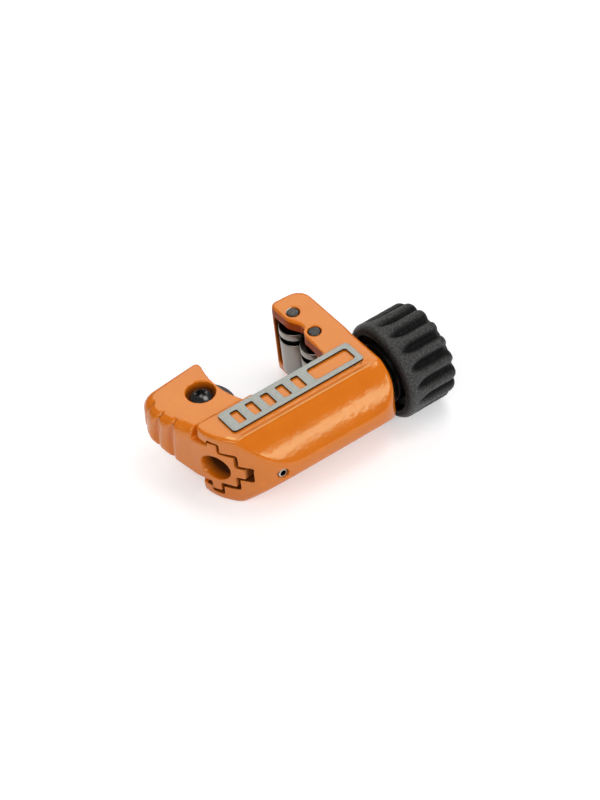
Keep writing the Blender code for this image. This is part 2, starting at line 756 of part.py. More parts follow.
def knob_radius(along, angle):
    """Outer radius at a distance from the rim: bevel, lobes with grooves between, round end."""
    rim = min(1.0, along / KNOB_RIM_BEVEL)
    radius = KNOB_RIM_RADIUS + (KNOB_RADIUS - KNOB_RIM_RADIUS) * math.sin(rim * math.pi / 2)
    into_end = max(0.0, along - (KNOB_LENGTH - KNOB_END_ROUNDING)) / KNOB_END_ROUNDING
    radius -= KNOB_END_ROUNDING * (1 - math.sqrt(max(0.0, 1 - into_end**2)))
    across = angle / (2 * math.pi) * KNOB_LOBES % 1
    groove = (0.5 - 0.5 * math.cos(2 * math.pi * across)) ** 1.3
    reach = min(1.0, max(0.0, (along - KNOB_GROOVE_START) / KNOB_GROOVE_RUN))
    return radius - KNOB_GROOVE_DEPTH * groove * math.sin(reach * math.pi / 2)


def make_knob(plastic, brass, steel):
    start = knob_start()
    end = start + KNOB_LENGTH
    segments = KNOB_LOBES * 6
    stations = [0, 0.25, 0.6, 1]
    alongs = [KNOB_RIM_BEVEL * s for s in stations]
    alongs += [KNOB_GROOVE_START + KNOB_GROOVE_RUN * s for s in (0, 0.3, 0.65, 1)]
    alongs += [KNOB_LENGTH - KNOB_END_ROUNDING * (1 - math.sin(a * math.pi / 8)) for a in range(4)]
    recess = CAP_WASHER_RADIUS + 0.0006
    bore = INSERT_RADIUS + PRESS

    def plain(x, radius):
        return [(x, u, v) for u, v in circle(0, 0, radius, segments)]

    floor = start + KNOB_CUP_DEPTH
    rings = [
        plain(start, bore),
        plain(start, KNOB_HUB_RADIUS),
        plain(floor, KNOB_HUB_RADIUS),
        plain(floor, KNOB_CUP_RADIUS),
        plain(start, KNOB_CUP_RADIUS),
    ]
    for along in alongs:
        angles = [2 * math.pi * k / segments for k in range(segments)]
        radii = [knob_radius(along, a) for a in angles]
        rings.append(
            [(start + along, r * math.cos(a), r * math.sin(a)) for r, a in zip(radii, angles)]
        )
    shelf = start + INSERT_LENGTH
    rings += [
        plain(end, KNOB_RADIUS - KNOB_END_ROUNDING - KNOB_GROOVE_DEPTH),
        plain(end, recess),
        plain(end - KNOB_END_RECESS, recess),
        plain(end - KNOB_END_RECESS, bore),
        plain(shelf, bore),
    ]
    bm = loft(rings)
    bm.faces.ensure_lookup_table()
    bmesh.ops.delete(bm, geom=[f for f in bm.faces if len(f.verts) == segments], context="FACES_ONLY")
    rims = [e for e in bm.edges if e.is_boundary]
    bmesh.ops.bridge_loops(bm, edges=rims)
    solid("knob", bm, plastic)
    insert = solid(
        "knob_insert",
        turned([(start + SEAT, INSERT_RADIUS), (shelf - SEAT, INSERT_RADIUS)], "x", (0, 0), 32),
        brass,
    )
    across_corners = (SOCKET_FLATS + 2 * PRESS) / math.sqrt(3)
    corners = [math.pi / 6 + math.pi / 3 * k for k in range(6)]
    socket = [(across_corners * math.cos(a), across_corners * math.sin(a)) for a in corners]
    hexagon_end = start + INSERT_LENGTH - 0.0012
    cut(insert, "insert_socket", prism(socket, "x", start - OVERSHOOT, hexagon_end + SEAT))
    through = circle(0, 0, CAP_SCREW_RADIUS + PRESS, 18)
    cut(insert, "insert_hole", prism(through, "x", start, end))
    washer_x = shelf
    washer = [
        (washer_x, CAP_SCREW_RADIUS + PRESS),
        (washer_x, CAP_WASHER_RADIUS),
        (washer_x + CAP_WASHER_THICKNESS, CAP_WASHER_RADIUS),
        (washer_x + CAP_WASHER_THICKNESS, CAP_SCREW_RADIUS + PRESS),
    ]
    solid("knob_washer", turned(washer, "x", (0, 0), 30, closed=True), steel)
    head = washer_x + CAP_WASHER_THICKNESS + SEAT
    screw = [
        (hexagon_end - 0.0060, CAP_SCREW_RADIUS - 0.0003),
        (hexagon_end - 0.0057, CAP_SCREW_RADIUS),
        (head, CAP_SCREW_RADIUS),
        (head, CAP_HEAD_RADIUS),
        (head + CAP_HEAD_HEIGHT * 0.6, CAP_HEAD_RADIUS),
        (head + CAP_HEAD_HEIGHT, CAP_HEAD_RADIUS * 0.75),
    ]
    cap = solid("knob_screw", turned(screw, "x", (0, 0), 30), steel)
    drive = circle(0, 0, 0.0015, 6)
    top = head + CAP_HEAD_HEIGHT
    cut(cap, "knob_screw_socket", prism(drive, "x", top - 0.0011, top + OVERSHOOT))


def main():
    clear_scene()
    cutter = bpy.data.objects.new("cutter", None)
    cutter.location = (-ORIGIN_X, 0, BODY_HALF_HEIGHT)
    bpy.context.scene.collection.objects.link(cutter)
    orange = material("orange_paint", (0.76, 0.24, 0.035), 0.32)
    grey = material("plate_grey", (0.40, 0.45, 0.46), 0.45, 0.6)
    steel = material("bright_steel", (0.62, 0.61, 0.58), 0.25, 1.0)
    dark_steel = material("dark_steel", (0.12, 0.12, 0.13), 0.35, 1.0)
    black = material("black_screw", (0.015, 0.015, 0.016), 0.30, 0.6)
    plastic = material("black_plastic", (0.025, 0.025, 0.026), 0.55)
    brass = material("brass", (0.58, 0.42, 0.16), 0.35, 1.0)
    make_body(orange)
    make_plate(grey)
    make_stop_pin(steel)
    make_rollers(steel, dark_steel)
    make_arm(orange)
    make_wheel(dark_steel, brass, black)
    make_spindle(steel, dark_steel, black)
    make_knob(plastic, brass, steel)


main()
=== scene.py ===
import math

import bmesh
import bpy
import numpy as np
from mathutils import Matrix, Vector, noise


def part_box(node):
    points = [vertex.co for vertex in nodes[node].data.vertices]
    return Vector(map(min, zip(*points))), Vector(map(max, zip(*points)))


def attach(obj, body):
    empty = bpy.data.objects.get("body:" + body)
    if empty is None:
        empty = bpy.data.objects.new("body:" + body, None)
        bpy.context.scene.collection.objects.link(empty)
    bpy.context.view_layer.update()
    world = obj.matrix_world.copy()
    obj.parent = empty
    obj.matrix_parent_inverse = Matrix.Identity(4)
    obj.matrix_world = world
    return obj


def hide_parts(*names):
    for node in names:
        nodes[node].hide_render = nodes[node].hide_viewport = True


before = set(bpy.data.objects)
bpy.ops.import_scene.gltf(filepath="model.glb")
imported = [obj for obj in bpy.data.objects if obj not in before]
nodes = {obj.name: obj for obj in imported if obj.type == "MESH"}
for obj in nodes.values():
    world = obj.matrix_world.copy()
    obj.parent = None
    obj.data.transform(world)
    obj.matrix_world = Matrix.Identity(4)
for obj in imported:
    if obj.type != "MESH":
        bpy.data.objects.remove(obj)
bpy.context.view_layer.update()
print("frame loaded:", len(nodes), "nodes")

# places that several pieces share, read off the CAD nodes
knobLow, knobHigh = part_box("knob")
spindleZ = (knobLow.z + knobHigh.z) / 2
bodyLow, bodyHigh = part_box("body")


def centreOf(name):
    low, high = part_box(name)
    return (low + high) / 2


# small helpers for meshes


def addObject(name, mesh):
    piece = bpy.data.objects.new(name, mesh)
    bpy.context.scene.collection.objects.link(piece)
    return piece


def meshFromBm(name, bm):
    bmesh.ops.recalc_face_normals(bm, faces=bm.faces)
    mesh = bpy.data.meshes.new(name)
    bm.to_mesh(mesh)
    bm.free()
    return mesh


def weldedCopy(node, name):
    bm = bmesh.new()
    bm.from_mesh(nodes[node].data)
    bmesh.ops.remove_doubles(bm, verts=bm.verts, dist=2e-6)
    return meshFromBm(name, bm)


def finalMesh(piece, name):
    graph = bpy.context.evaluated_depsgraph_get()
    mesh = bpy.data.meshes.new_from_object(piece.evaluated_get(graph))
    mesh.name = name
    return mesh


def smoothShade(mesh, degrees=None):
    mesh.shade_smooth()
    if degrees:
        mesh.set_sharp_from_angle(angle=math.radians(degrees))


def wear(piece, finish):
    piece.data.materials.clear()
    piece.data.materials.append(finish)


def ringPoint(axis, centre, along, radius, angle):
    c, s = radius * math.cos(angle), radius * math.sin(angle)
    if axis == "x":
        return (along, centre[1] + c, centre[2] + s)
    if axis == "y":
        return (centre[0] + s, along, centre[2] + c)
    return (centre[0] + c, centre[1] + s, along)


def turned(name, profile, axis, centre, segments, closed=False, radiusAt=None):
    # profile is (along, radius); radiusAt can change a ring's radius with the angle
    bm = bmesh.new()
    rings = []
    for along, radius in profile:
        ring = []
        for k in range(segments):
            angle = 2 * math.pi * k / segments
            r = radiusAt(along, radius, angle) if radiusAt else radius
            ring.append(bm.verts.new(ringPoint(axis, centre, along, r, angle)))
        rings.append(ring)
    pairs = list(zip(rings, rings[1:]))
    if closed:
        pairs.append((rings[-1], rings[0]))
    else:
        bm.faces.new(rings[0])
        bm.faces.new(rings[-1])
    for one, two in pairs:
        for i in range(segments):
            j = (i + 1) % segments
            bm.faces.new((one[i], one[j], two[j], two[i]))
    return meshFromBm(name, bm)


def roundedProfile(corners, radius, steps=4):
    # closed profile with every corner rounded a little
    out = []
    count = len(corners)
    for i in range(count):
        here = Vector(corners[i])
        before = (Vector(corners[i - 1]) - here)
        after = (Vector(corners[(i + 1) % count]) - here)
        reach = min(radius, before.length * 0.45, after.length * 0.45)
        a = here + before.normalized() * reach
        b = here + after.normalized() * reach
        for k in range(steps + 1):
            t = k / steps
            out.append(tuple(a * (1 - t) ** 2 + here * 2 * t * (1 - t) + b * t * t))
    return out


# small helpers for materials


class Finish:
    # a material whose nodes read object coordinates, in metres
    def __init__(self, name, colour, roughness, metallic=0.0):
        self.material = bpy.data.materials.new(name)
        self.material.use_nodes = True
        self.tree = self.material.node_tree
        self.shader = self.tree.nodes["Principled BSDF"]
        self.put("Base Color", (*colour, 1))
        self.put("Roughness", roughness)
        self.put("Metallic", metallic)
        self.coords = self.tree.nodes.new("ShaderNodeTexCoord").outputs["Object"]

    def put(self, socket, value):
        self.shader.inputs[socket].default_value = value

    def link(self, out, into):
        self.tree.links.new(out, into)

    def noise(self, scale, detail=3, rough=0.55, stretch=None):
        source = self.coords
        if stretch:
            mapping = self.tree.nodes.new("ShaderNodeMapping")
            mapping.inputs["Scale"].default_value = stretch
            self.link(source, mapping.inputs["Vector"])
            source = mapping.outputs["Vector"]
        node = self.tree.nodes.new("ShaderNodeTexNoise")
        node.inputs["Scale"].default_value = scale
        node.inputs["Detail"].default_value = detail
        node.inputs["Roughness"].default_value = rough
        self.link(source, node.inputs["Vector"])
        return node.outputs["Fac"]

    def ramp(self, value, low, high, fromLow=0.0, fromHigh=1.0, smooth=False):
        node = self.tree.nodes.new("ShaderNodeMapRange")
        node.interpolation_type = "SMOOTHSTEP" if smooth else "LINEAR"
        node.inputs["From Min"].default_value = fromLow
        node.inputs["From Max"].default_value = fromHigh
        node.inputs["To Min"].default_value = low
        node.inputs["To Max"].default_value = high
        self.link(value, node.inputs["Value"])
        return node.outputs["Result"]

    def mathNode(self, kind, a, b):
        node = self.tree.nodes.new("ShaderNodeMath")
        node.operation = kind
        for socket, value in zip(node.inputs, (a, b)):
            if isinstance(value, (int, float)):
                socket.default_value = value
            else:
                self.link(value, socket)
        return node.outputs["Value"]

    def mix(self, share, one, two):
        node = self.tree.nodes.new("ShaderNodeMix")
        node.data_type = "RGBA"
        self.link(share, node.inputs[0])
        for socket, value in ((node.inputs[6], one), (node.inputs[7], two)):
            if isinstance(value, tuple):
                socket.default_value = (*value, 1)
            else:
                self.link(value, socket)
        return node.outputs[2]

    def near(self, point, radius, soft):
        # 1 at a point of the object, falling to 0 past radius
        node = self.tree.nodes.new("ShaderNodeVectorMath")
        node.operation = "DISTANCE"
        node.inputs[1].default_value = point
        self.link(self.coords, node.inputs[0])
        return self.ramp(node.outputs["Value"], 1.0, 0.0, radius - soft, radius, smooth=True)

    def around(self, point, keep, radius, soft):
        # 1 near a line through a point, along the axis that keep leaves out
        flat = self.tree.nodes.new("ShaderNodeVectorMath")
        flat.operation = "MULTIPLY"
        flat.inputs[1].default_value = keep
        self.link(self.coords, flat.inputs[0])
        node = self.tree.nodes.new("ShaderNodeVectorMath")
        node.operation = "DISTANCE"
        node.inputs[1].default_value = point
        self.link(flat.outputs["Vector"], node.inputs[0])
        return self.ramp(node.outputs["Value"], 1.0, 0.0, radius - soft, radius, smooth=True)

    def axis(self, name):
        node = self.tree.nodes.new("ShaderNodeSeparateXYZ")
        self.link(self.coords, node.inputs[0])
        return node.outputs[name]

    def between(self, name, low, high, soft):
        # 1 between two places along an axis
        place = self.axis(name)
        rise = self.ramp(place, 0.0, 1.0, low - soft, low)
        return self.every(rise, self.ramp(place, 1.0, 0.0, high, high + soft))

    def every(self, first, *masks):
        for mask in masks:
            first = self.mathNode("MULTIPLY", first, mask)
        return first

    def facing(self, name):
        node = self.tree.nodes.new("ShaderNodeSeparateXYZ")
        geometry = self.tree.nodes.new("ShaderNodeNewGeometry")
        self.link(geometry.outputs["Normal"], node.inputs[0])
        return node.outputs[name]

    def bump(self, height, strength, distance, under=None):
        node = self.tree.nodes.new("ShaderNodeBump")
        node.inputs["Strength"].default_value = strength
        node.inputs["Distance"].default_value = distance
        self.link(height, node.inputs["Height"])
        if under:
            self.link(under, node.inputs["Normal"])
        return node.outputs["Normal"]

    def colour(self, out):
        self.link(out, self.shader.inputs["Base Color"])

    def rough(self, out):
        self.link(out, self.shader.inputs["Roughness"])

    def normal(self, out):
        self.link(out, self.shader.inputs["Normal"])


# finishes

# valleys between the ribs; towards the top they lean and turn into narrow grooves
ribs = {
    "first": 0.0121,
    "pitch": 0.00405,
    "count": 3,
    "cut": 0.00062,
    "reach": 0.00095,
    "topCut": 0.00050,
    "topReach": 0.00062,
    "lean": 0.0016,
    "leanFrom": 0.0010,
}

paint = {
    "colour": (0.80, 0.192, 0.005),
    "deep": (0.76, 0.173, 0.0045),
    "primer": (0.16, 0.075, 0.035),
    # dark of the joints round the pins, also painted shade in creases, bore, recess, channel and jaw
    "dirtAndShade": (0.045, 0.016, 0.008),
    # deep red of the painted shade on the jaw's edge
    "deepShade": (0.30, 0.034, 0.002),
    # pale orange of painted highlights on edges
    "paleTone": (0.95, 0.46, 0.13),
    # near-white of the painted highlight by the outer pin
    "glintPale": (0.90, 0.84, 0.72),
    "roughness": 0.16,
    "specular": 0.80,
    "dullSpecular": 0.06,
    "specularTint": (0.92, 1.0, 0.64, 1),
    "chipAt": (0.0166, -0.0033, 0.0206),
    "chipReach": 0.0021,
}


def orangePaint(name, shades=(), lines=()):
    f = Finish(name, paint["colour"], paint["roughness"])
    f.put("Specular Tint", paint["specularTint"])
    clouds = f.ramp(f.noise(110, 4), 0.0, 1.0, 0.35, 0.7)
    chips = f.ramp(f.noise(1500, 3, 0.7), 0.0, 1.0, 0.54, 0.60)
    chips = f.mathNode("MULTIPLY", chips, f.near(paint["chipAt"], paint["chipReach"], 0.0014))
    coloured = f.mix(clouds, paint["colour"], paint["deep"])
    coloured = f.mix(chips, coloured, paint["primer"])
    # dirt, painted shade and painted highlights: each shade is a mask, how much it covers and its colour
    dirtAndShadeShare = 0.0
    for mask, cover, tint in [shade(f) for shade in shades]:
        share = f.ramp(mask, 0.0, cover)
        coloured = f.mix(share, coloured, paint[tint])
        if tint in ("dirtAndShade", "deepShade"):
            dirtAndShadeShare = f.mathNode("MAXIMUM", dirtAndShadeShare, share)
    f.colour(coloured)
    # what is soiled shines less
    # where dirt or painted shade lies, the paint shines less
    shine = f.ramp(dirtAndShadeShare, paint["specular"], paint["dullSpecular"], 0.0, 0.7)
    f.link(shine, f.shader.inputs["Specular IOR Level"])
    f.rough(f.ramp(f.noise(700, 3), paint["roughness"] - 0.03, paint["roughness"] + 0.05))
    under = None
    for line in lines:
        under = f.bump(line(f), 1.0, 0.00012, under)
    waves = f.bump(f.noise(240, 2), 0.11, 0.0006, under)
    peel = f.bump(f.noise(950, 2), 0.22, 0.0002, waves)
    f.normal(f.bump(f.noise(1700, 2), 0.06, 0.0001, peel))
    return f.material


def ridgeLine(f):
    # a crisp bead along the upper edge of the slope
    high = f.ramp(f.axis("Z"), 0.0, 1.0, bodyHigh.z - 0.0016, bodyHigh.z - 0.0012)
    along = f.between("X", bodyLow.x + 0.0060, 0.0190, 0.0012)
    return f.every(f.between("Y", -0.00515, -0.00505, 0.00018), high, along)


# a painted highlight along the bead on the upper edge of the slope
def ridgeHighlight(f):
    return ridgeLine(f), 0.6, "paleTone"


def creaseShade(f):
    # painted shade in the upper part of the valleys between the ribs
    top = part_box("sliding_arm")[1].z
    z = f.axis("Z")
    lean = f.ramp(z, 0.0, ribs["lean"], spindleZ + ribs["leanFrom"], top, smooth=True)
    y = f.mathNode("SUBTRACT", f.mathNode("ADD", f.axis("Y"), lean), ribs["first"])
    across = f.mathNode("DIVIDE", y, ribs["pitch"])
    whole = f.mathNode("ROUND", across, 0.0)
    away = f.mathNode("ABSOLUTE", f.mathNode("SUBTRACT", across, whole), 0.0)
    line = f.ramp(away, 1.0, 0.0, 0.012, 0.07)
    last = ribs["count"] - 1
    ribbed = f.every(f.ramp(across, 0.0, 1.0, -0.5, -0.4), f.ramp(across, 1.0, 0.0, last + 0.4, last + 0.5))
    side = f.ramp(f.facing("X"), 1.0, 0.0, -0.25, -0.05)
    high = f.ramp(z, 0.0, 1.0, top - 0.0052, top - 0.0020)
    return f.every(line, ribbed, side, high), 0.42, "dirtAndShade"


def pinRing(f):
    c = centreOf("stop_pin")
    return f.around((c.x, 0, c.z), (1, 0, 1), 0.00136, 0.0001), 0.9, "dirtAndShade"


def rollerPinRings(f):
    masks = []
    for side in ("outer", "inner"):
        c = centreOf("roller_pin_" + side)
        masks.append(f.around((c.x, c.y, 0), (1, 1, 0), 0.00178, 0.0001))
    return f.mathNode("MAXIMUM", *masks), 0.75, "dirtAndShade"


def pinGlint(f):
    # a painted highlight along the far edge of the outer pin's hole
    c = centreOf("roller_pin_outer")
    ring = f.around((c.x, c.y, 0), (1, 1, 0), 0.00185, 0.00012)
    inner = f.ramp(f.around((c.x, c.y, 0), (1, 1, 0), 0.00158, 0.0001), 1.0, 0.0)
    far = f.ramp(f.axis("Y"), 0.0, 1.0, c.y + 0.0006, c.y + 0.0012)
    left = f.ramp(f.axis("X"), 1.0, 0.0, c.x + 0.0002, c.x + 0.0009)
    high = f.ramp(f.axis("Z"), 0.0, 1.0, bodyHigh.z - 0.0012, bodyHigh.z - 0.0010)
    return f.every(ring, inner, far, left, high), 0.85, "glintPale"


# painted shade on the walls of the recess round the axle screw, darker lower down
def recessShade(f):
    c = centreOf("wheel_axle_screw")
    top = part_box("sliding_arm")[1].z
    deep = f.ramp(f.axis("Z"), 1.0, 0.0, top - 0.0019, top - 0.0006)
    inside = f.around((c.x, c.y, 0), (1, 1, 0), 0.0039, 0.0001)
    return f.every(deep, inside), 0.8, "dirtAndShade"


# the end face of body and slide is swept: x falls back along this curve of y
endSweep = {"zero": -0.024, "slope": 0.47, "curve": 16.7, "edge": 0.00005, "front": -0.0085}


def pastEnd(f):
    # how far a place lies behind the swept end face
    y = f.axis("Y")
    lean = f.mathNode("SUBTRACT", endSweep["slope"], f.mathNode("MULTIPLY", y, endSweep["curve"]))
    x = f.mathNode("SUBTRACT", f.axis("X"), endSweep["zero"])
    return f.mathNode("ADD", x, f.mathNode("MULTIPLY", y, lean))


def inBore(f):
    return f.around((0, 0, spindleZ), (0, 1, 1), 0.0041, 0.0001)


# painted shade inside the bore, growing with depth behind the end face
def boreShade(f):
    return f.every(inBore(f), f.ramp(pastEnd(f), 0.0, 1.0, 0.0006, 0.0034)), 0.94, "dirtAndShade"


def walls(f, first, reach, back):
    # 1 on walls behind the end face, 0 on the face itself; first is the value at the edge
    deep = f.ramp(pastEnd(f), first, 1.0, endSweep["edge"], endSweep["edge"] + reach)
    wall = f.ramp(f.facing("X"), 0.0, 1.0, -0.8, -0.4)
    return f.every(deep, wall, f.between("Y", endSweep["front"], back, 0.0001))


# painted shade on the walls of the body's channel behind the end face
def channelShade(f):
    # the stepped channel narrows towards the front
    height = f.mathNode("ABSOLUTE", f.mathNode("SUBTRACT", f.axis("Z"), spindleZ), 0.0)
    taper = f.mathNode("SUBTRACT", height, f.mathNode("MULTIPLY", f.axis("Y"), 0.85))
    narrow = f.ramp(taper, 1.0, 0.0, 0.0101, 0.0102)
    low = f.ramp(height, 1.0, 0.0, 0.0084, 0.0085)
    return f.every(walls(f, 0.6, 0.0008, 0.0035), narrow, low), 0.84, "dirtAndShade"


# painted shade on the slide's walls in the channel, but not in the bore
def slideShade(f):
    return f.every(walls(f, 0.2, 0.0008, 0.0014), f.ramp(inBore(f), 1.0, 0.0)), 0.80, "dirtAndShade"


# painted shade inside the jaw's mouth round the rollers, lighter towards the bottom
def jawShade(f):
    inside = f.every(f.between("Y", 0.0080, 0.0276, 0.0003), f.between("X", 0.0134, 0.0300, 0.0004))
    height = f.between("Z", spindleZ - 0.0080, spindleZ + 0.0072, 0.0003)
    low = f.ramp(f.axis("Z"), 0.55, 1.0, spindleZ - 0.0080, spindleZ + 0.0020)
    # the outer face of the jaw gets no painted shade
    inward = f.ramp(f.facing("X"), 1.0, 0.0, 0.3, 0.6)
    return f.every(inside, height, low, inward), 0.88, "dirtAndShade"


def slabShade(f):
    # painted shade on the front edge of the jaw above the rollers, standing for the dark mouth it reflects
    place = f.every(f.between("Y", 0.0062, 0.0274, 0.0012), f.between("X", 0.0120, 0.0170, 0.0005))
    height = f.ramp(f.axis("Z"), 0.0, 1.0, spindleZ + 0.0068, spindleZ + 0.0072)
    upright = f.ramp(f.facing("Z"), 1.0, 0.0, 0.12, 0.55)
    front = f.ramp(f.facing("X"), 1.0, 0.0, -0.25, 0.05)
    return f.every(place, height, upright, front), 0.85, "deepShade"


def cornerGlint(f):
    # a painted highlight where the slope's upper edge turns into the end face
    behind = pastEnd(f)
    line = f.every(f.ramp(behind, 0.0, 1.0, 0.0011, 0.0014), f.ramp(behind, 1.0, 0.0, 0.0018, 0.0023))
    short = f.between("Y", -0.0042, -0.0030, 0.0008)
    high = f.ramp(f.axis("Z"), 0.0, 1.0, bodyHigh.z - 0.0022, bodyHigh.z - 0.0018)
    return f.every(line, short, high), 0.9, "paleTone"


plateLook = {"colour": (0.41, 0.43, 0.405), "dark": (0.25, 0.28, 0.29), "edge": (0.035, 0.025, 0.02), "roughness": 0.42}


def plateGrey():
    f = Finish("plateGrey", plateLook["colour"], plateLook["roughness"], 0.35)
    grain = f.ramp(f.noise(2600, 4, 0.7), 0.0, 1.0, 0.45, 0.75)
    flat = f.mix(grain, plateLook["colour"], plateLook["dark"])
    # faces of the plate that turn away from up are near black
    f.colour(f.mix(f.ramp(f.facing("Z"), 1.0, 0.0, 0.35, 0.8), flat, plateLook["edge"]))
    f.rough(f.ramp(f.noise(900, 3), 0.34, 0.55))
    f.normal(f.bump(f.noise(3200, 3), 0.15, 0.00008))
    return f.material


steelLook = {"colour": (0.60, 0.58, 0.545), "dull": (0.46, 0.44, 0.41), "roughness": 0.24}


def turnedSteel(name="turnedSteel", along=(1, 1, 40)):
    # stretched noise gives the fine lines a lathe leaves
    f = Finish(name, steelLook["colour"], steelLook["roughness"], 1.0)
    lines = f.noise(260, 3, 0.6, stretch=along)
    stains = f.ramp(f.noise(900, 3, 0.6), 0.0, 0.6, 0.5, 0.8)
    f.colour(f.mix(stains, steelLook["colour"], steelLook["dull"]))
    f.rough(f.ramp(lines, 0.17, 0.32))
    f.normal(f.bump(lines, 0.1, 0.00004))
    return f.material


darkLook = {"colour": (0.055, 0.052, 0.052), "paleTone": (0.16, 0.15, 0.145), "roughness": 0.38}


def darkSteel():
    f = Finish("darkSteel", darkLook["colour"], darkLook["roughness"], 0.8)
    spots = f.ramp(f.noise(1500, 4, 0.7), 0.0, 1.0, 0.5, 0.72)
    f.colour(f.mix(spots, darkLook["colour"], darkLook["paleTone"]))
    f.rough(f.ramp(f.noise(900, 3), 0.28, 0.5))
    f.normal(f.bump(f.noise(2400, 3), 0.12, 0.00008))
    return f.material


screwLook = {"colour": (0.004, 0.004, 0.0045), "pale": (0.010, 0.010, 0.011), "roughness": 0.2}


def blackScrew():
    f = Finish("blackScrew", screwLook["colour"], screwLook["roughness"])
    f.put("Specular IOR Level", 0.9)
    dust = f.ramp(f.noise(1900, 3), 0.0, 0.6, 0.55, 0.8)
    f.colour(f.mix(dust, screwLook["colour"], screwLook["pale"]))
    f.rough(f.ramp(f.noise(1100, 3), 0.13, 0.24))
    f.normal(f.bump(f.noise(1600, 2), 0.1, 0.00006))
    return f.material


gripLook = {"colour": (0.004, 0.004, 0.0043), "pale": (0.080, 0.080, 0.082), "roughness": 0.42}


def gripPlastic():
    f = Finish("gripPlastic", gripLook["colour"], gripLook["roughness"])
    # pale specks show most on the crests of the lobes, partly wear from handling and partly a painted highlight; in the
    # hollows they fade as painted shade, and the hollows shine less
    speck = f.ramp(f.noise(3000, 3, 0.75), 0.0, 1.0, 0.46, 0.64)
    hollow = f.around((0, 0, spindleZ), (0, 1, 1), 0.0127, 0.0013)
    f.colour(f.mix(f.every(speck, f.ramp(hollow, 1.0, 0.2)), gripLook["colour"], gripLook["pale"]))
    f.link(f.ramp(hollow, 0.55, 0.10), f.shader.inputs["Specular IOR Level"])
    f.rough(f.ramp(f.noise(1800, 2), 0.32, 0.56))
    grain = f.bump(f.noise(2300, 2), 0.9, 0.0003)
    f.normal(f.bump(f.noise(4200, 2), 0.6, 0.0001, grain))
    return f.material


brassLook = {"colour": (0.60, 0.42, 0.16), "dull": (0.36, 0.24, 0.09)}


def rollerSteel():
    # the roller's top, bottom, bore and groove are painted near black as shade; only the outside keeps the ground steel
    # colour
    f = Finish("rollerSteel", steelLook["colour"], steelLook["roughness"], 1.0)
    lines = f.noise(300, 3, 0.6, stretch=(1, 1, 30))
    inner = []
    for side in ("outer", "inner"):
        low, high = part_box("roller_" + side)
        c = (low + high) / 2
        inner.append(f.around((c.x, c.y, 0), (1, 1, 0), (high.x - low.x) / 2 - 0.00012, 0.00006))
    shadedInside = f.mathNode("MAXIMUM", *inner)
    ground = f.mix(f.ramp(lines, 0.0, 0.7), (0.34, 0.318, 0.292), (0.25, 0.234, 0.213))
    f.colour(f.mix(shadedInside, ground, (0.012, 0.011, 0.011)))
    f.rough(f.ramp(lines, 0.26, 0.36))
    f.normal(f.bump(lines, 0.08, 0.00003))
    return f.material


def pinSteel():
    # the hole of the rolled pin, with the inner edge round it, is painted black as shade
    f = Finish("pinSteel", steelLook["colour"], steelLook["roughness"], 1.0)
    c = centreOf("stop_pin")
    holeShade = f.around((c.x, 0, c.z), (1, 0, 1), 0.00082, 0.00006)
    scuffs = f.ramp(f.noise(1400, 3), 0.0, 0.5, 0.45, 0.75)
    paleTone = f.mix(scuffs, (0.50, 0.47, 0.43), (0.36, 0.34, 0.31))
    f.colour(f.mix(holeShade, paleTone, (0.006, 0.005, 0.005)))
    f.rough(f.ramp(f.noise(900, 3), 0.22, 0.36))
    f.normal(f.bump(f.noise(2200, 3), 0.1, 0.00004))
    return f.material


def cupPlastic():
    # the hollow of the knob is smooth and deep black
    f = Finish("cupPlastic", (0.004, 0.004, 0.004), 0.3)
    f.put("Specular IOR Level", 0.08)
    haze = f.ramp(f.noise(800, 3), 0.0, 0.6, 0.5, 0.8)
    f.colour(f.mix(haze, (0.004, 0.004, 0.004), (0.009, 0.009, 0.009)))
    f.rough(f.ramp(f.noise(700, 2), 0.24, 0.38))
    f.normal(f.bump(f.noise(1500, 2), 0.1, 0.00006))
    return f.material


def turnedBrass():
    f = Finish("turnedBrass", brassLook["colour"], 0.3, 1.0)
    stains = f.ramp(f.noise(500, 4), 0.0, 0.8, 0.45, 0.75)
    f.colour(f.mix(stains, brassLook["colour"], brassLook["dull"]))
    lines = f.noise(260, 2, 0.6, stretch=(40, 1, 1))
    f.rough(f.ramp(lines, 0.22, 0.42))
    return f.material


orange = orangePaint("orangePaint", (pinRing, rollerPinRings, channelShade, jawShade, slabShade, ridgeHighlight, pinGlint, cornerGlint), (ridgeLine,))
armOrange = orangePaint("armPaint", (boreShade, recessShade, slideShade, creaseShade))
grey = plateGrey()
steel = turnedSteel()
spindleSteel = turnedSteel("spindleSteel", (40, 1, 1))
dark = darkSteel()
black = blackScrew()
plastic = gripPlastic()
cupBlack = cupPlastic()
ground = rollerSteel()
rolled = pinSteel()
brass = turnedBrass()
print("finishes ready")


# castings: the CAD shapes with every edge rounded as a die leaves it


def castingMesh(node, name, settings, roundingAt):
    source = addObject(name + "Source", nodes[node].data.copy())
    remesh = source.modifiers.new("even", "REMESH")
    remesh.mode = "VOXEL"
    remesh.voxel_size = settings["voxel"]
    mesh = finalMesh(source, name)
    bpy.data.objects.remove(source)
    count = len(mesh.vertices)
    place = np.empty(count * 3, np.float64)
    mesh.vertices.foreach_get("co", place)
    place = place.reshape(-1, 3)
    ends = np.empty(len(mesh.edges) * 2, np.int64)
    mesh.edges.foreach_get("vertices", ends)
    ends = ends.reshape(-1, 2)
    share = np.bincount(ends.ravel(), minlength=count).astype(float)[:, None]
    # a rounding is the spread of a blur, so its square sets the pull of each round
    pull = np.minimum((roundingAt(place) / settings["voxel"]) ** 2 / settings["rounds"], 0.5)[:, None]
    for step in range(settings["rounds"]):
        total = np.zeros_like(place)
        for axis in range(3):
            total[:, axis] = np.bincount(ends[:, 0], place[ends[:, 1], axis], count)
            total[:, axis] += np.bincount(ends[:, 1], place[ends[:, 0], axis], count)
        place += pull * (total / share - place)
    return mesh, place


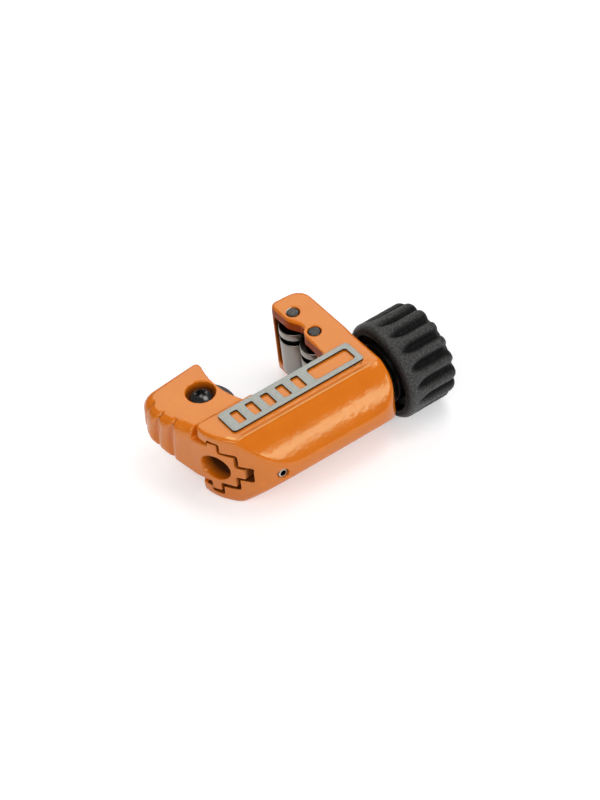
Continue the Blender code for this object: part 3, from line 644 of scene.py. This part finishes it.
def settle(mesh, place):
    mesh.vertices.foreach_set("co", place.astype(np.float32).ravel())
    mesh.update()
    smoothShade(mesh)
    return mesh


def normalsOf(mesh, place):
    settle(mesh, place)
    normals = np.empty(len(place) * 3, np.float32)
    mesh.vertex_normals.foreach_get("vector", normals)
    return normals.reshape(-1, 3)


def ramp01(value, low, high):
    t = np.clip((value - low) / (high - low), 0, 1)
    return t * t * (3 - 2 * t)


body = {
    "voxel": 0.00027,
    "rounds": 90,
    "plain": 0.00036,
    "nose": 0.00100,
    "foot": 0.00150,
    "right": 0.00150,
    "end": 0.00110,
    "endSlope": 0.00120,
    "ridge": 0.00040,
    "jaw": 0.00105,
    "mouth": 0.00013,
    "holes": 0.00020,
    "pinSink": 0.00010,
    "mouthEase": 0.00022,
    "lineY": -0.0039,
    "lineWidth": 0.00045,
    "lineDepth": 0.00020,
    "beadY": -0.0051,
    "beadWidth": 0.0004,
    "beadHeight": 0.00010,
}


def bodyRounding(place):
    x, y, z = place.T
    middle = (bodyLow.z + bodyHigh.z) / 2
    soft = np.full(len(place), body["plain"])
    soft += (body["right"] - soft) * ramp01(x, 0.0150, 0.0190)
    low = 1 - ramp01(y, -0.0062, -0.0040)
    end = body["end"] + (body["endSlope"] - body["end"]) * low
    soft += (end - soft) * (1 - ramp01(x + 0.47 * y, bodyLow.x + 0.0018 + 0.0010 * low, bodyLow.x + 0.0042 + 0.0016 * low))
    onRidge = np.exp(-(((y + 0.005) / 0.0011) ** 2)) * ramp01(z, bodyHigh.z - 0.0016, bodyHigh.z - 0.0006)
    onRidge *= ramp01(x, bodyLow.x + 0.0055, bodyLow.x + 0.0095) * (1 - ramp01(x, 0.0145, 0.0185))
    soft += (body["ridge"] - soft) * onRidge
    soft += (body["nose"] - soft) * (1 - ramp01(y, -0.0112, -0.0085))
    foot = (1 - ramp01(x, bodyLow.x + 0.003, bodyLow.x + 0.007)) * (1 - ramp01(z, middle - 0.0060, middle - 0.0035))
    soft += (body["foot"] - soft) * foot * (1 - ramp01(y, -0.0060, -0.0030))
    soft += (body["jaw"] - soft) * ramp01(y, 0.0070, 0.0095) * ramp01(z, bodyHigh.z - 0.0023, bodyHigh.z - 0.0012)
    height = np.abs(z - middle)
    inside = (height < 0.0086) & (height - 0.85 * y < 0.0104) & (y > -0.0089) & (y < 0.0046) & (x < 0.0165)
    soft[inside] = np.minimum(soft[inside], body["mouth"])
    for pin in ("roller_pin_outer", "roller_pin_inner"):
        c = centreOf(pin)
        soft = np.where(np.hypot(x - c.x, y - c.y) < 0.0026, body["holes"], soft)
    stop = centreOf("stop_pin")
    return np.where(np.hypot(x - stop.x, z - stop.z) < 0.0018, body["holes"], soft)


def makeBody():
    mesh, place = castingMesh("body", "bodyCasting", body, bodyRounding)
    x, y, z = place.T
    # the paint is thin on the walls of the channel, which leaves a wider gap
    normals = normalsOf(mesh, place)
    height = np.abs(z - spindleZ)
    inChannel = (height - 0.85 * y < 0.0101) & (height < 0.0085) & (y < 0.0014) & (y > -0.0086)
    eased = inChannel * ramp01(normals[:, 0], -0.6, -0.3) * (1 - ramp01(x, bodyLow.x + 0.008, bodyLow.x + 0.012))
    place -= normals * (body["mouthEase"] * eased)[:, None]
    # a fine line runs along the top between the plate and the ridge
    dip = np.exp(-(((y - body["lineY"]) / body["lineWidth"]) ** 2))
    dip *= ramp01(z, bodyHigh.z - 0.0006, bodyHigh.z - 0.0002)
    dip *= ramp01(x, bodyLow.x + 0.004, bodyLow.x + 0.008) * (1 - ramp01(x, 0.0185, 0.0205))
    place[:, 2] -= body["lineDepth"] * dip
    bead = np.exp(-(((y - body["beadY"]) / body["beadWidth"]) ** 2))
    bead *= ramp01(z, bodyHigh.z - 0.0016, bodyHigh.z - 0.0008) * (1 - ramp01(x, 0.0185, 0.0205))
    place[:, 2] += body["beadHeight"] * bead * ramp01(x, bodyLow.x + 0.004, bodyLow.x + 0.008)
    # the paint sinks a little round the roller pins
    for side in ("outer", "inner"):
        c = centreOf("roller_pin_" + side)
        sink = np.exp(-(((np.hypot(x - c.x, y - c.y) - 0.0017) / 0.00045) ** 2))
        place[:, 2] -= body["pinSink"] * sink * ramp01(z, bodyHigh.z - 0.0010, bodyHigh.z - 0.0005)
    piece = addObject("bodyCasting", settle(mesh, place))
    wear(piece, orange)
    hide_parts("body")
    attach(piece, "frame")
    print("body casting:", len(mesh.polygons), "faces")


makeBody()

arm = {
    "voxel": 0.00023,
    "rounds": 70,
    "plain": 0.00042,
    "ribs": 0.00024,
    "slide": 0.00015,
    "recess": 0.00026,
    "ribStart": 0.0100,
    "ribSide": -0.0255,
    "slack": 0.00016,
    "slackBelow": 0.00036,
}

def armRounding(place):
    x, y, z = place.T
    soft = np.full(len(place), arm["plain"])
    c = centreOf("wheel_axle_screw")
    side = (1 - ramp01(x, arm["ribSide"] - 0.0010, arm["ribSide"])) * ramp01(y, arm["ribStart"] - 0.001, arm["ribStart"])
    soft += (arm["ribs"] - soft) * side
    soft[y < 0.0054] = arm["slide"]
    away = np.hypot(x - c.x, y - c.y)
    return np.where((away < 0.0046) & (z > c.z), arm["recess"], soft)


def makeArm():
    mesh, place = castingMesh("sliding_arm", "armCasting", arm, armRounding)
    normals = normalsOf(mesh, place)
    x, y, z = place.T
    # the slide is a little slack in its channel, more so below
    loose = (y < 0.0014) * ramp01(normals[:, 0], -0.6, -0.3) * (np.hypot(y, z - spindleZ) > 0.0041)
    slack = arm["slack"] + (arm["slackBelow"] - arm["slack"]) * (1 - ramp01(normals[:, 2], -0.8, -0.4))
    place -= normals * (slack * loose)[:, None]
    # the valleys run from the top face down round the lower edge
    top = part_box("sliding_arm")[1].z
    across = (y - ribs["first"]) / ribs["pitch"]
    away = np.abs(across - np.clip(np.round(across), 0, ribs["count"] - 1)) * ribs["pitch"]
    upper = ramp01(z, top - 0.0032, top - 0.0008)
    reach = ribs["reach"] + (ribs["topReach"] - ribs["reach"]) * upper
    cut = ribs["cut"] + (ribs["topCut"] - ribs["cut"]) * upper
    valley = np.clip(1 - away / reach, 0, 1) ** 2 * (1 - ramp01(normals[:, 0], -0.45, -0.06))
    valley *= 1 - ramp01(x, arm["ribSide"] - 0.0008, arm["ribSide"])
    place -= normals * (cut * valley)[:, None]
    lean = ramp01(z, spindleZ + ribs["leanFrom"], top) * (1 - ramp01(x, -0.0275, -0.0245))
    lean *= ramp01(y, 0.0055, 0.0118) * (1 - ramp01(y, 0.0192, 0.0222))
    place[:, 1] -= ribs["lean"] * lean
    piece = addObject("armCasting", settle(mesh, place))
    wear(piece, armOrange)
    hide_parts("sliding_arm")
    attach(piece, "arm")
    print("arm casting:", len(mesh.polygons), "faces")


makeArm()


# plate

plate = {"edge": 0.00012, "segments": 3}


def edgedCopy(node, name, width, segments=2):
    piece = addObject(name, weldedCopy(node, name))
    bevel = piece.modifiers.new("edge", "BEVEL")
    bevel.width = width
    bevel.segments = segments
    bevel.limit_method = "ANGLE"
    bevel.angle_limit = math.radians(40)
    mesh = finalMesh(piece, name)
    smoothShade(mesh, 40)
    piece.modifiers.clear()
    piece.data = mesh
    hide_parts(node)
    return piece


platePiece = edgedCopy("name_plate", "barePlate", plate["edge"], plate["segments"])
wear(platePiece, grey)
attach(platePiece, "frame")
print("plate done")


# rollers and their pins

roller = {
    "segments": 112,
    "edge": 0.00026,
    "grooveDepth": 0.0012,
    "grooveLow": 0.002445,
    "grooveHigh": 0.003995,
    "bore": 0.0018,
}


def makeRoller(side):
    node = "roller_" + side
    low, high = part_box(node)
    c = (low + high) / 2
    r = (high.x - low.x) / 2 * 1.0
    z0, z1 = low.z, high.z
    g0, g1 = spindleZ + roller["grooveLow"], spindleZ + roller["grooveHigh"]
    inner = r - roller["grooveDepth"]
    bore = roller["bore"]
    corners = [(z0, bore), (z0, r), (g0, r), (g0, inner), (g1, inner), (g1, r), (z1, r), (z1, bore)]
    profile = roundedProfile(corners, roller["edge"], 3)
    mesh = turned("turnedRoller_" + side, profile, "z", c, roller["segments"], closed=True)
    smoothShade(mesh, 50)
    piece = addObject("turnedRoller_" + side, mesh)
    wear(piece, ground)
    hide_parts(node)
    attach(piece, side + "_roller")


rollerPin = {"segments": 64, "chamfer": 0.00022, "dish": 0.00012}


def makeRollerPin(side):
    node = "roller_pin_" + side
    low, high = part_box(node)
    c = (low + high) / 2
    r = (high.x - low.x) / 2
    ch, dish = rollerPin["chamfer"], rollerPin["dish"]
    half = [(high.z - ch, r), (high.z - ch * 0.3, r - ch * 0.35), (high.z, r - ch)]
    half += [(high.z - dish * t, (r - ch) * (1 - t * 0.4)) for t in (0.5, 1.0)]
    half += [(high.z - dish, r * 0.25)]
    other = [(low.z + high.z - z, radius) for z, radius in reversed(half)]
    mesh = turned("headedPin_" + side, other + half, "z", c, rollerPin["segments"])
    smoothShade(mesh, 40)
    piece = addObject("headedPin_" + side, mesh)
    wear(piece, dark)
    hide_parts(node)
    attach(piece, "frame")


for side in ("outer", "inner"):
    makeRoller(side)
    makeRollerPin(side)
print("rollers done")


# stop pin, axle screw, wheel

stopPin = {"segments": 56, "bore": 0.00076, "edge": 0.00016, "chamfer": 0.00018}


def makeStopPin():
    low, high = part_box("stop_pin")
    c = (low + high) / 2
    r = (high.x - low.x) / 2
    bore, ch = stopPin["bore"], stopPin["chamfer"]
    corners = [(low.y, bore), (low.y, r - ch), (low.y + ch, r), (high.y - ch, r), (high.y, r - ch), (high.y, bore)]
    profile = roundedProfile(corners, stopPin["edge"], 3)
    mesh = turned("rolledPin", profile, "y", c, stopPin["segments"], closed=True)
    smoothShade(mesh, 50)
    piece = addObject("rolledPin", mesh)
    wear(piece, rolled)
    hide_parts("stop_pin")
    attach(piece, "frame")


makeStopPin()

axleScrew = {
    "segments": 72,
    "headRadius": 0.0030,
    "headHeight": 0.0016,
    "domeShare": 0.64,
    "shank": 0.0020,
    "socketRadius": 0.00145,
    "socketDepth": 0.0011,
}


def makeAxleScrew():
    low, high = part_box("wheel_axle_screw")
    c = (low + high) / 2
    r, h = axleScrew["headRadius"], axleScrew["headHeight"]
    seat = high.z - h
    profile = [(low.z, axleScrew["shank"] - 0.0004), (low.z + 0.0004, axleScrew["shank"])]
    profile += [(seat, axleScrew["shank"]), (seat, r - 0.0001), (seat + 0.0001, r)]
    # the head is a cap of a ball
    rise = h * axleScrew["domeShare"]
    ball = (r * r + rise * rise) / (2 * rise)
    for k in range(13):
        across = r * (1 - 0.06 * (k == 0)) * (1 - k / 13)
        profile.append((high.z - ball + math.sqrt(ball * ball - across * across), across))
    mesh = turned("axleScrewBlank", profile, "z", c, axleScrew["segments"])
    piece = addObject("domedAxleScrew", mesh)
    bm = bmesh.new()
    count = 72
    lower, upper = [], []
    for k in range(count):
        angle = 2 * math.pi * k / count
        radius = axleScrew["socketRadius"] * (0.86 + 0.14 * math.cos(6 * angle))
        x, y = c.x + radius * math.cos(angle), c.y + radius * math.sin(angle)
        lower.append(bm.verts.new((x, y, high.z - axleScrew["socketDepth"])))
        upper.append(bm.verts.new((x, y, high.z + 0.001)))
    bm.faces.new(lower)
    bm.faces.new(upper)
    for i in range(count):
        j = (i + 1) % count
        bm.faces.new((lower[i], lower[j], upper[j], upper[i]))
    cutter = addObject("socketCutter", meshFromBm("socketCutter", bm))
    cut = piece.modifiers.new("socket", "BOOLEAN")
    cut.operation = "DIFFERENCE"
    cut.solver = "EXACT"
    cut.object = cutter
    mesh = finalMesh(piece, "domedAxleScrew")
    piece.modifiers.clear()
    piece.data = mesh
    bpy.data.objects.remove(cutter)
    smoothShade(mesh, 35)
    wear(piece, black)
    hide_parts("wheel_axle_screw")
    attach(piece, "arm")


makeAxleScrew()

wheel = {"segments": 160, "hub": 0.0042, "bore": 0.00295, "flank": 0.0016, "edge": 0.00006}


def makeWheel():
    low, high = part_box("cutter_wheel")
    c = (low + high) / 2
    r = (high.x - low.x) / 2
    half = (high.z - low.z) / 2
    step = half / 2
    side = [(half, wheel["bore"]), (half, wheel["hub"]), (step, wheel["hub"] + 0.0002)]
    side += [(step * 0.92, r - wheel["flank"]), (wheel["edge"], r)]
    profile = [(c.z + a, b) for a, b in side] + [(c.z - a, b) for a, b in reversed(side)]
    mesh = turned("bevelledWheel", profile, "z", c, wheel["segments"], closed=True)
    smoothShade(mesh, 25)
    piece = addObject("bevelledWheel", mesh)
    wear(piece, dark)
    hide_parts("cutter_wheel")
    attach(piece, "wheel")


makeWheel()
print("wheel and screw done")


# knob

knob = {
    "lobes": 16,
    "perLobe": 22,
    "rimRadius": 0.0114,
    "rimBevel": 0.0016,
    "grooveStart": 0.0022,
    "grooveRun": 0.0040,
    "grooveDepth": 0.0017,
    "endRounding": 0.0024,
    "endRecess": 0.0020,
    "recessRadius": 0.0052,
    "hubRadius": 0.0078,
    "cupRadius": 0.0102,
    "cupDepth": 0.0030,
    "bore": 0.00675,
    "shelf": 0.0110,
    "grain": 0.00006,
}


def knobRadius(along, length, full, angle):
    rim = min(1.0, along / knob["rimBevel"])
    radius = knob["rimRadius"] + (full - knob["rimRadius"]) * math.sin(rim * math.pi / 2) ** 0.9
    past = max(0.0, along - (length - knob["endRounding"])) / knob["endRounding"]
    radius -= knob["endRounding"] * (1 - math.sqrt(max(0.0, 1 - past**2)))
    # a groove is narrow where it starts and opens to the full pitch
    across = abs(angle / (2 * math.pi) * knob["lobes"] % 1 * 2 - 1)
    run = min(1.0, max(0.0, (along - knob["grooveStart"]) / knob["grooveRun"]))
    width = max(1e-4, math.sqrt(run)) * 0.96
    if across < width:
        shape = (0.5 + 0.5 * math.cos(math.pi * across / width)) ** 1.2
        radius -= knob["grooveDepth"] * math.sin(run * math.pi / 2) * shape
    return radius


def makeKnob():
    length = knobHigh.x - knobLow.x
    full = (knobHigh.z - knobLow.z) / 2
    c = Vector((0, 0, spindleZ))
    segments = knob["lobes"] * knob["perLobe"]
    start, x1 = knobLow.x, knobHigh.x
    alongs = [knob["rimBevel"] * k / 8 for k in range(9)]
    end = length - knob["endRounding"]
    alongs += [knob["rimBevel"] + (end - knob["rimBevel"]) * k / 44 for k in range(1, 45)]
    alongs += [end + knob["endRounding"] * math.sin(k / 9 * math.pi / 2) for k in range(1, 9)]
    last = start + alongs[-1]
    hub, cup, deep = knob["hubRadius"], knob["cupRadius"], start + knob["cupDepth"]
    profile = [(start, knob["bore"]), (start, hub - 0.0002), (start + 0.0002, hub), (deep, hub), (deep, cup - 0.0004)]
    profile += [(deep - 0.0004, cup), (start + 0.0004, cup), (start + 0.0001, cup + 0.00025)]
    profile += [(start + a, full) for a in alongs]
    inner = knob["recessRadius"]
    profile += [(x1, full - knob["endRounding"] - knob["grooveDepth"] * k) for k in (0.4, 1.1, 1.6)]
    profile += [(x1, inner + 0.0004), (x1 - 0.0003, inner)]
    floor = x1 - knob["endRecess"]
    profile += [(floor, inner), (floor, knob["bore"]), (start + knob["shelf"], knob["bore"])]

    def radiusAt(along, radius, angle):
        if radius == full and along <= last + 1e-9:
            r = knobRadius(along - start, length, full, angle)
            p = Vector((along, r * math.cos(angle), r * math.sin(angle)))
            return r - knob["grain"] * (1 + noise.noise(p * 1900))
        return radius

    mesh = turned("lobedKnob", profile, "x", c, segments, closed=True, radiusAt=radiusAt)
    smoothShade(mesh, 50)
    piece = addObject("lobedKnob", mesh)
    wear(piece, plastic)
    mesh.materials.append(cupBlack)
    for face in mesh.polygons:
        middle = face.center
        inCup = math.hypot(middle.y, middle.z - spindleZ) < cup + 0.0002 and middle.x < deep + 0.0002
        face.material_index = 1 if inCup else 0
    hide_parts("knob")
    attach(piece, "feed_screw")


makeKnob()
print("knob done")


# spindle with its thread

spindle = {"segments": 36, "perTurn": 10, "pitch": 0.0015, "crest": 0.0034, "depth": 0.00055}


def makeSpindle():
    low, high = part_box("spindle")
    c = Vector((0, 0, spindleZ))
    ringLow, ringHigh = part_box("retaining_ring")
    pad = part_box("friction_washer")[1]
    start, end = low.x, ringLow.x - 0.0003
    count = round((end - start) / spindle["pitch"] * spindle["perTurn"])
    waist = spindle["crest"] - spindle["depth"]
    profile = [(start + (end - start) * k / count, waist) for k in range(count + 1)]
    journal = (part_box("spindle")[1].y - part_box("spindle")[0].y) / 2
    hexagon = 0.0035
    profile += [(ringHigh.x + 0.0003, waist), (ringHigh.x + 0.0003, journal), (pad.x, journal)]
    profile += [(pad.x + 0.0001, hexagon), (high.x - 0.0003, hexagon), (high.x, hexagon - 0.0003)]

    def radiusAt(along, radius, angle):
        if along > end or radius != waist:
            return radius
        turns = (along - start) / spindle["pitch"]
        left = (end - along) / spindle["pitch"]
        phase = (turns - angle / (2 * math.pi)) % 1
        ridge = min(1.0, max(0.0, 1.6 * (1 - abs(2 * phase - 1)) - 0.15))
        return waist + spindle["depth"] * ridge * min(1.0, turns * 1.2, left * 1.2)

    mesh = turned("threadedSpindle", profile, "x", c, spindle["segments"], radiusAt=radiusAt)
    smoothShade(mesh, 40)
    piece = addObject("threadedSpindle", mesh)
    wear(piece, spindleSteel)
    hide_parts("spindle")
    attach(piece, "feed_screw")


makeSpindle()

# small turned pieces keep their CAD shape, with softened edges
smallPieces = [
    ("retaining_ring", "openRing", "feed_screw", dark, "dark_steel", 0.00008),
    ("thrust_washer", "thrustRing", "frame", steel, "bright_steel", 0.0001),
    ("friction_washer", "frictionRing", "feed_screw", cupBlack, "black_plastic", 0.00008),
    ("knob_insert", "brassInsert", "feed_screw", brass, "brass", 0.0001),
    ("knob_washer", "flatWasher", "feed_screw", steel, "bright_steel", 0.0001),
    ("knob_screw", "socketScrew", "feed_screw", spindleSteel, "bright_steel", 0.00012),
    ("wheel_bush", "brassBush", "arm", brass, "brass", 0.00008),
]
for node, name, carrier, finish, slotName, width in smallPieces:
    piece = edgedCopy(node, name, width)
    wear(piece, finish)
    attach(piece, carrier)
print("spindle and small pieces done")


# floor, light and camera

stageLook = {"floor": (0.79, 0.80, 0.84), "lift": 0.42, "near": 0.12, "far": 0.5, "size": 3.0, "clearance": 0.00002}


def makeFloor():
    # the tool leans on the knob and on the open end of the body
    knobFoot = Vector((knobHigh.x - 0.004, 0, knobLow.z))
    bodyFoot = Vector((bodyLow.x + 0.002, 0, bodyLow.z))
    lean = math.atan2(bodyFoot.z - knobFoot.z, knobFoot.x - bodyFoot.x)
    bm = bmesh.new()
    half = stageLook["size"] / 2
    bm.faces.new([bm.verts.new(p) for p in ((-half, -half, 0), (half, -half, 0), (half, half, 0), (-half, half, 0))])
    floor = addObject("paleFloor", meshFromBm("paleFloor", bm))
    floor.rotation_euler = (0, lean, 0)
    floor.location = bodyFoot - Vector((0, 0, stageLook["clearance"]))
    finish = bpy.data.materials.new("paleFloor")
    finish.use_nodes = True
    shader = finish.node_tree.nodes["Principled BSDF"]
    shader.inputs["Base Color"].default_value = (*stageLook["floor"], 1)
    shader.inputs["Roughness"].default_value = 0.9
    shader.inputs["Specular IOR Level"].default_value = 0.1
    # the camera and the gloss of the tool see the floor lifted to white, further out fully
    tree = finish.node_tree
    path = tree.nodes.new("ShaderNodeLightPath")
    away = tree.nodes.new("ShaderNodeVectorMath")
    away.operation = "LENGTH"
    coords = tree.nodes.new("ShaderNodeTexCoord")
    tree.links.new(coords.outputs["Object"], away.inputs[0])
    rise = tree.nodes.new("ShaderNodeMapRange")
    rise.inputs["From Min"].default_value = stageLook["near"]
    rise.inputs["From Max"].default_value = stageLook["far"]
    rise.inputs["To Min"].default_value = stageLook["lift"]
    rise.inputs["To Max"].default_value = 1.0
    tree.links.new(away.outputs["Value"], rise.inputs["Value"])
    seen = []
    for ray, share in (("Is Camera Ray", rise.outputs["Result"]), ("Is Glossy Ray", None)):
        times = tree.nodes.new("ShaderNodeMath")
        times.operation = "MULTIPLY"
        times.inputs[1].default_value = stageLook["lift"]
        tree.links.new(path.outputs[ray], times.inputs[0])
        if share:
            tree.links.new(share, times.inputs[1])
        seen.append(times.outputs[0])
    most = tree.nodes.new("ShaderNodeMath")
    most.operation = "MAXIMUM"
    for out, into in zip(seen, most.inputs):
        tree.links.new(out, into)
    tree.links.new(most.outputs[0], shader.inputs["Emission Strength"])
    shader.inputs["Emission Color"].default_value = (1, 1, 1, 1)
    wear(floor, finish)


makeFloor()

lamps = [
    # name, direction from the tool, distance, width, height, watts, colour
    ("frontSoftbox", (0.37, -0.80, 0.47), 0.55, 0.50, 0.140, 0.92, (1.0, 0.98, 0.93)),
    ("backSoftbox", (0.33, 0.62, 0.71), 0.6, 0.5, 0.4, 1.10, (1.0, 0.98, 0.92)),
    ("topSoftbox", (0.33, -0.05, 0.94), 0.7, 0.30, 0.24, 1.00, (1.0, 0.98, 0.92)),
    ("leftSoftbox", (-0.60, -0.35, 0.72), 0.6, 0.4, 0.4, 1.3, (1.0, 0.98, 0.93)),
]
aim = Vector((0.004, 0.005, 0.0103))
for name, direction, distance, width, height, watts, colour in lamps:
    data = bpy.data.lights.new(name, "AREA")
    data.shape = "RECTANGLE"
    data.size = width
    data.size_y = height
    data.energy = watts
    data.color = colour
    lamp = bpy.data.objects.new(name, data)
    bpy.context.scene.collection.objects.link(lamp)
    d = Vector(direction).normalized()
    lamp.location = aim + d * distance
    lamp.rotation_euler = d.to_track_quat("Z", "Y").to_euler()

worldLook = {"colour": (1.0, 1.0, 1.0), "strength": 0.20, "seen": 1.0}


def makeWorld():
    # the camera sees plain white, the tool is lit by a dimmer sky
    world = bpy.data.worlds.new("studio")
    bpy.context.scene.world = world
    world.use_nodes = True
    tree = world.node_tree
    sky = tree.nodes["Background"]
    sky.inputs["Color"].default_value = (*worldLook["colour"], 1)
    sky.inputs["Strength"].default_value = worldLook["strength"]
    backdrop = tree.nodes.new("ShaderNodeBackground")
    backdrop.inputs["Color"].default_value = (*worldLook["colour"], 1)
    backdrop.inputs["Strength"].default_value = worldLook["seen"]
    path = tree.nodes.new("ShaderNodeLightPath")
    choice = tree.nodes.new("ShaderNodeMixShader")
    tree.links.new(path.outputs["Is Camera Ray"], choice.inputs[0])
    tree.links.new(sky.outputs[0], choice.inputs[1])
    tree.links.new(backdrop.outputs[0], choice.inputs[2])
    tree.links.new(choice.outputs[0], tree.nodes["World Output"].inputs["Surface"])


makeWorld()

view = {
    "azimuth": -30.73,
    "elevation": 44.17,
    "roll": -7.2,
    "distance": 0.8002,
    "target": (0.004698, 0.005229, 0.0103),
    "lens": 150.2,
}


def makeCamera():
    a, e, roll = (math.radians(view[k]) for k in ("azimuth", "elevation", "roll"))
    back = Vector((math.sin(a) * math.cos(e), -math.cos(a) * math.cos(e), math.sin(e)))
    right = Vector((math.cos(a), math.sin(a), 0))
    up = back.cross(right)
    tiltedRight = right * math.cos(roll) + up * math.sin(roll)
    tiltedUp = back.cross(tiltedRight)
    data = bpy.data.cameras.new("photoCamera")
    data.lens = view["lens"]
    data.sensor_width = 36
    data.clip_start = 0.01
    camera = bpy.data.objects.new("photoCamera", data)
    bpy.context.scene.collection.objects.link(camera)
    turn = Matrix((tiltedRight, tiltedUp, back)).transposed().to_4x4()
    camera.matrix_world = Matrix.Translation(Vector(view["target"]) + back * view["distance"]) @ turn
    bpy.context.scene.camera = camera


makeCamera()
bpy.context.scene.view_settings.view_transform = "Standard"
print("floor, light and camera ready")

bpy.context.view_layer.update()
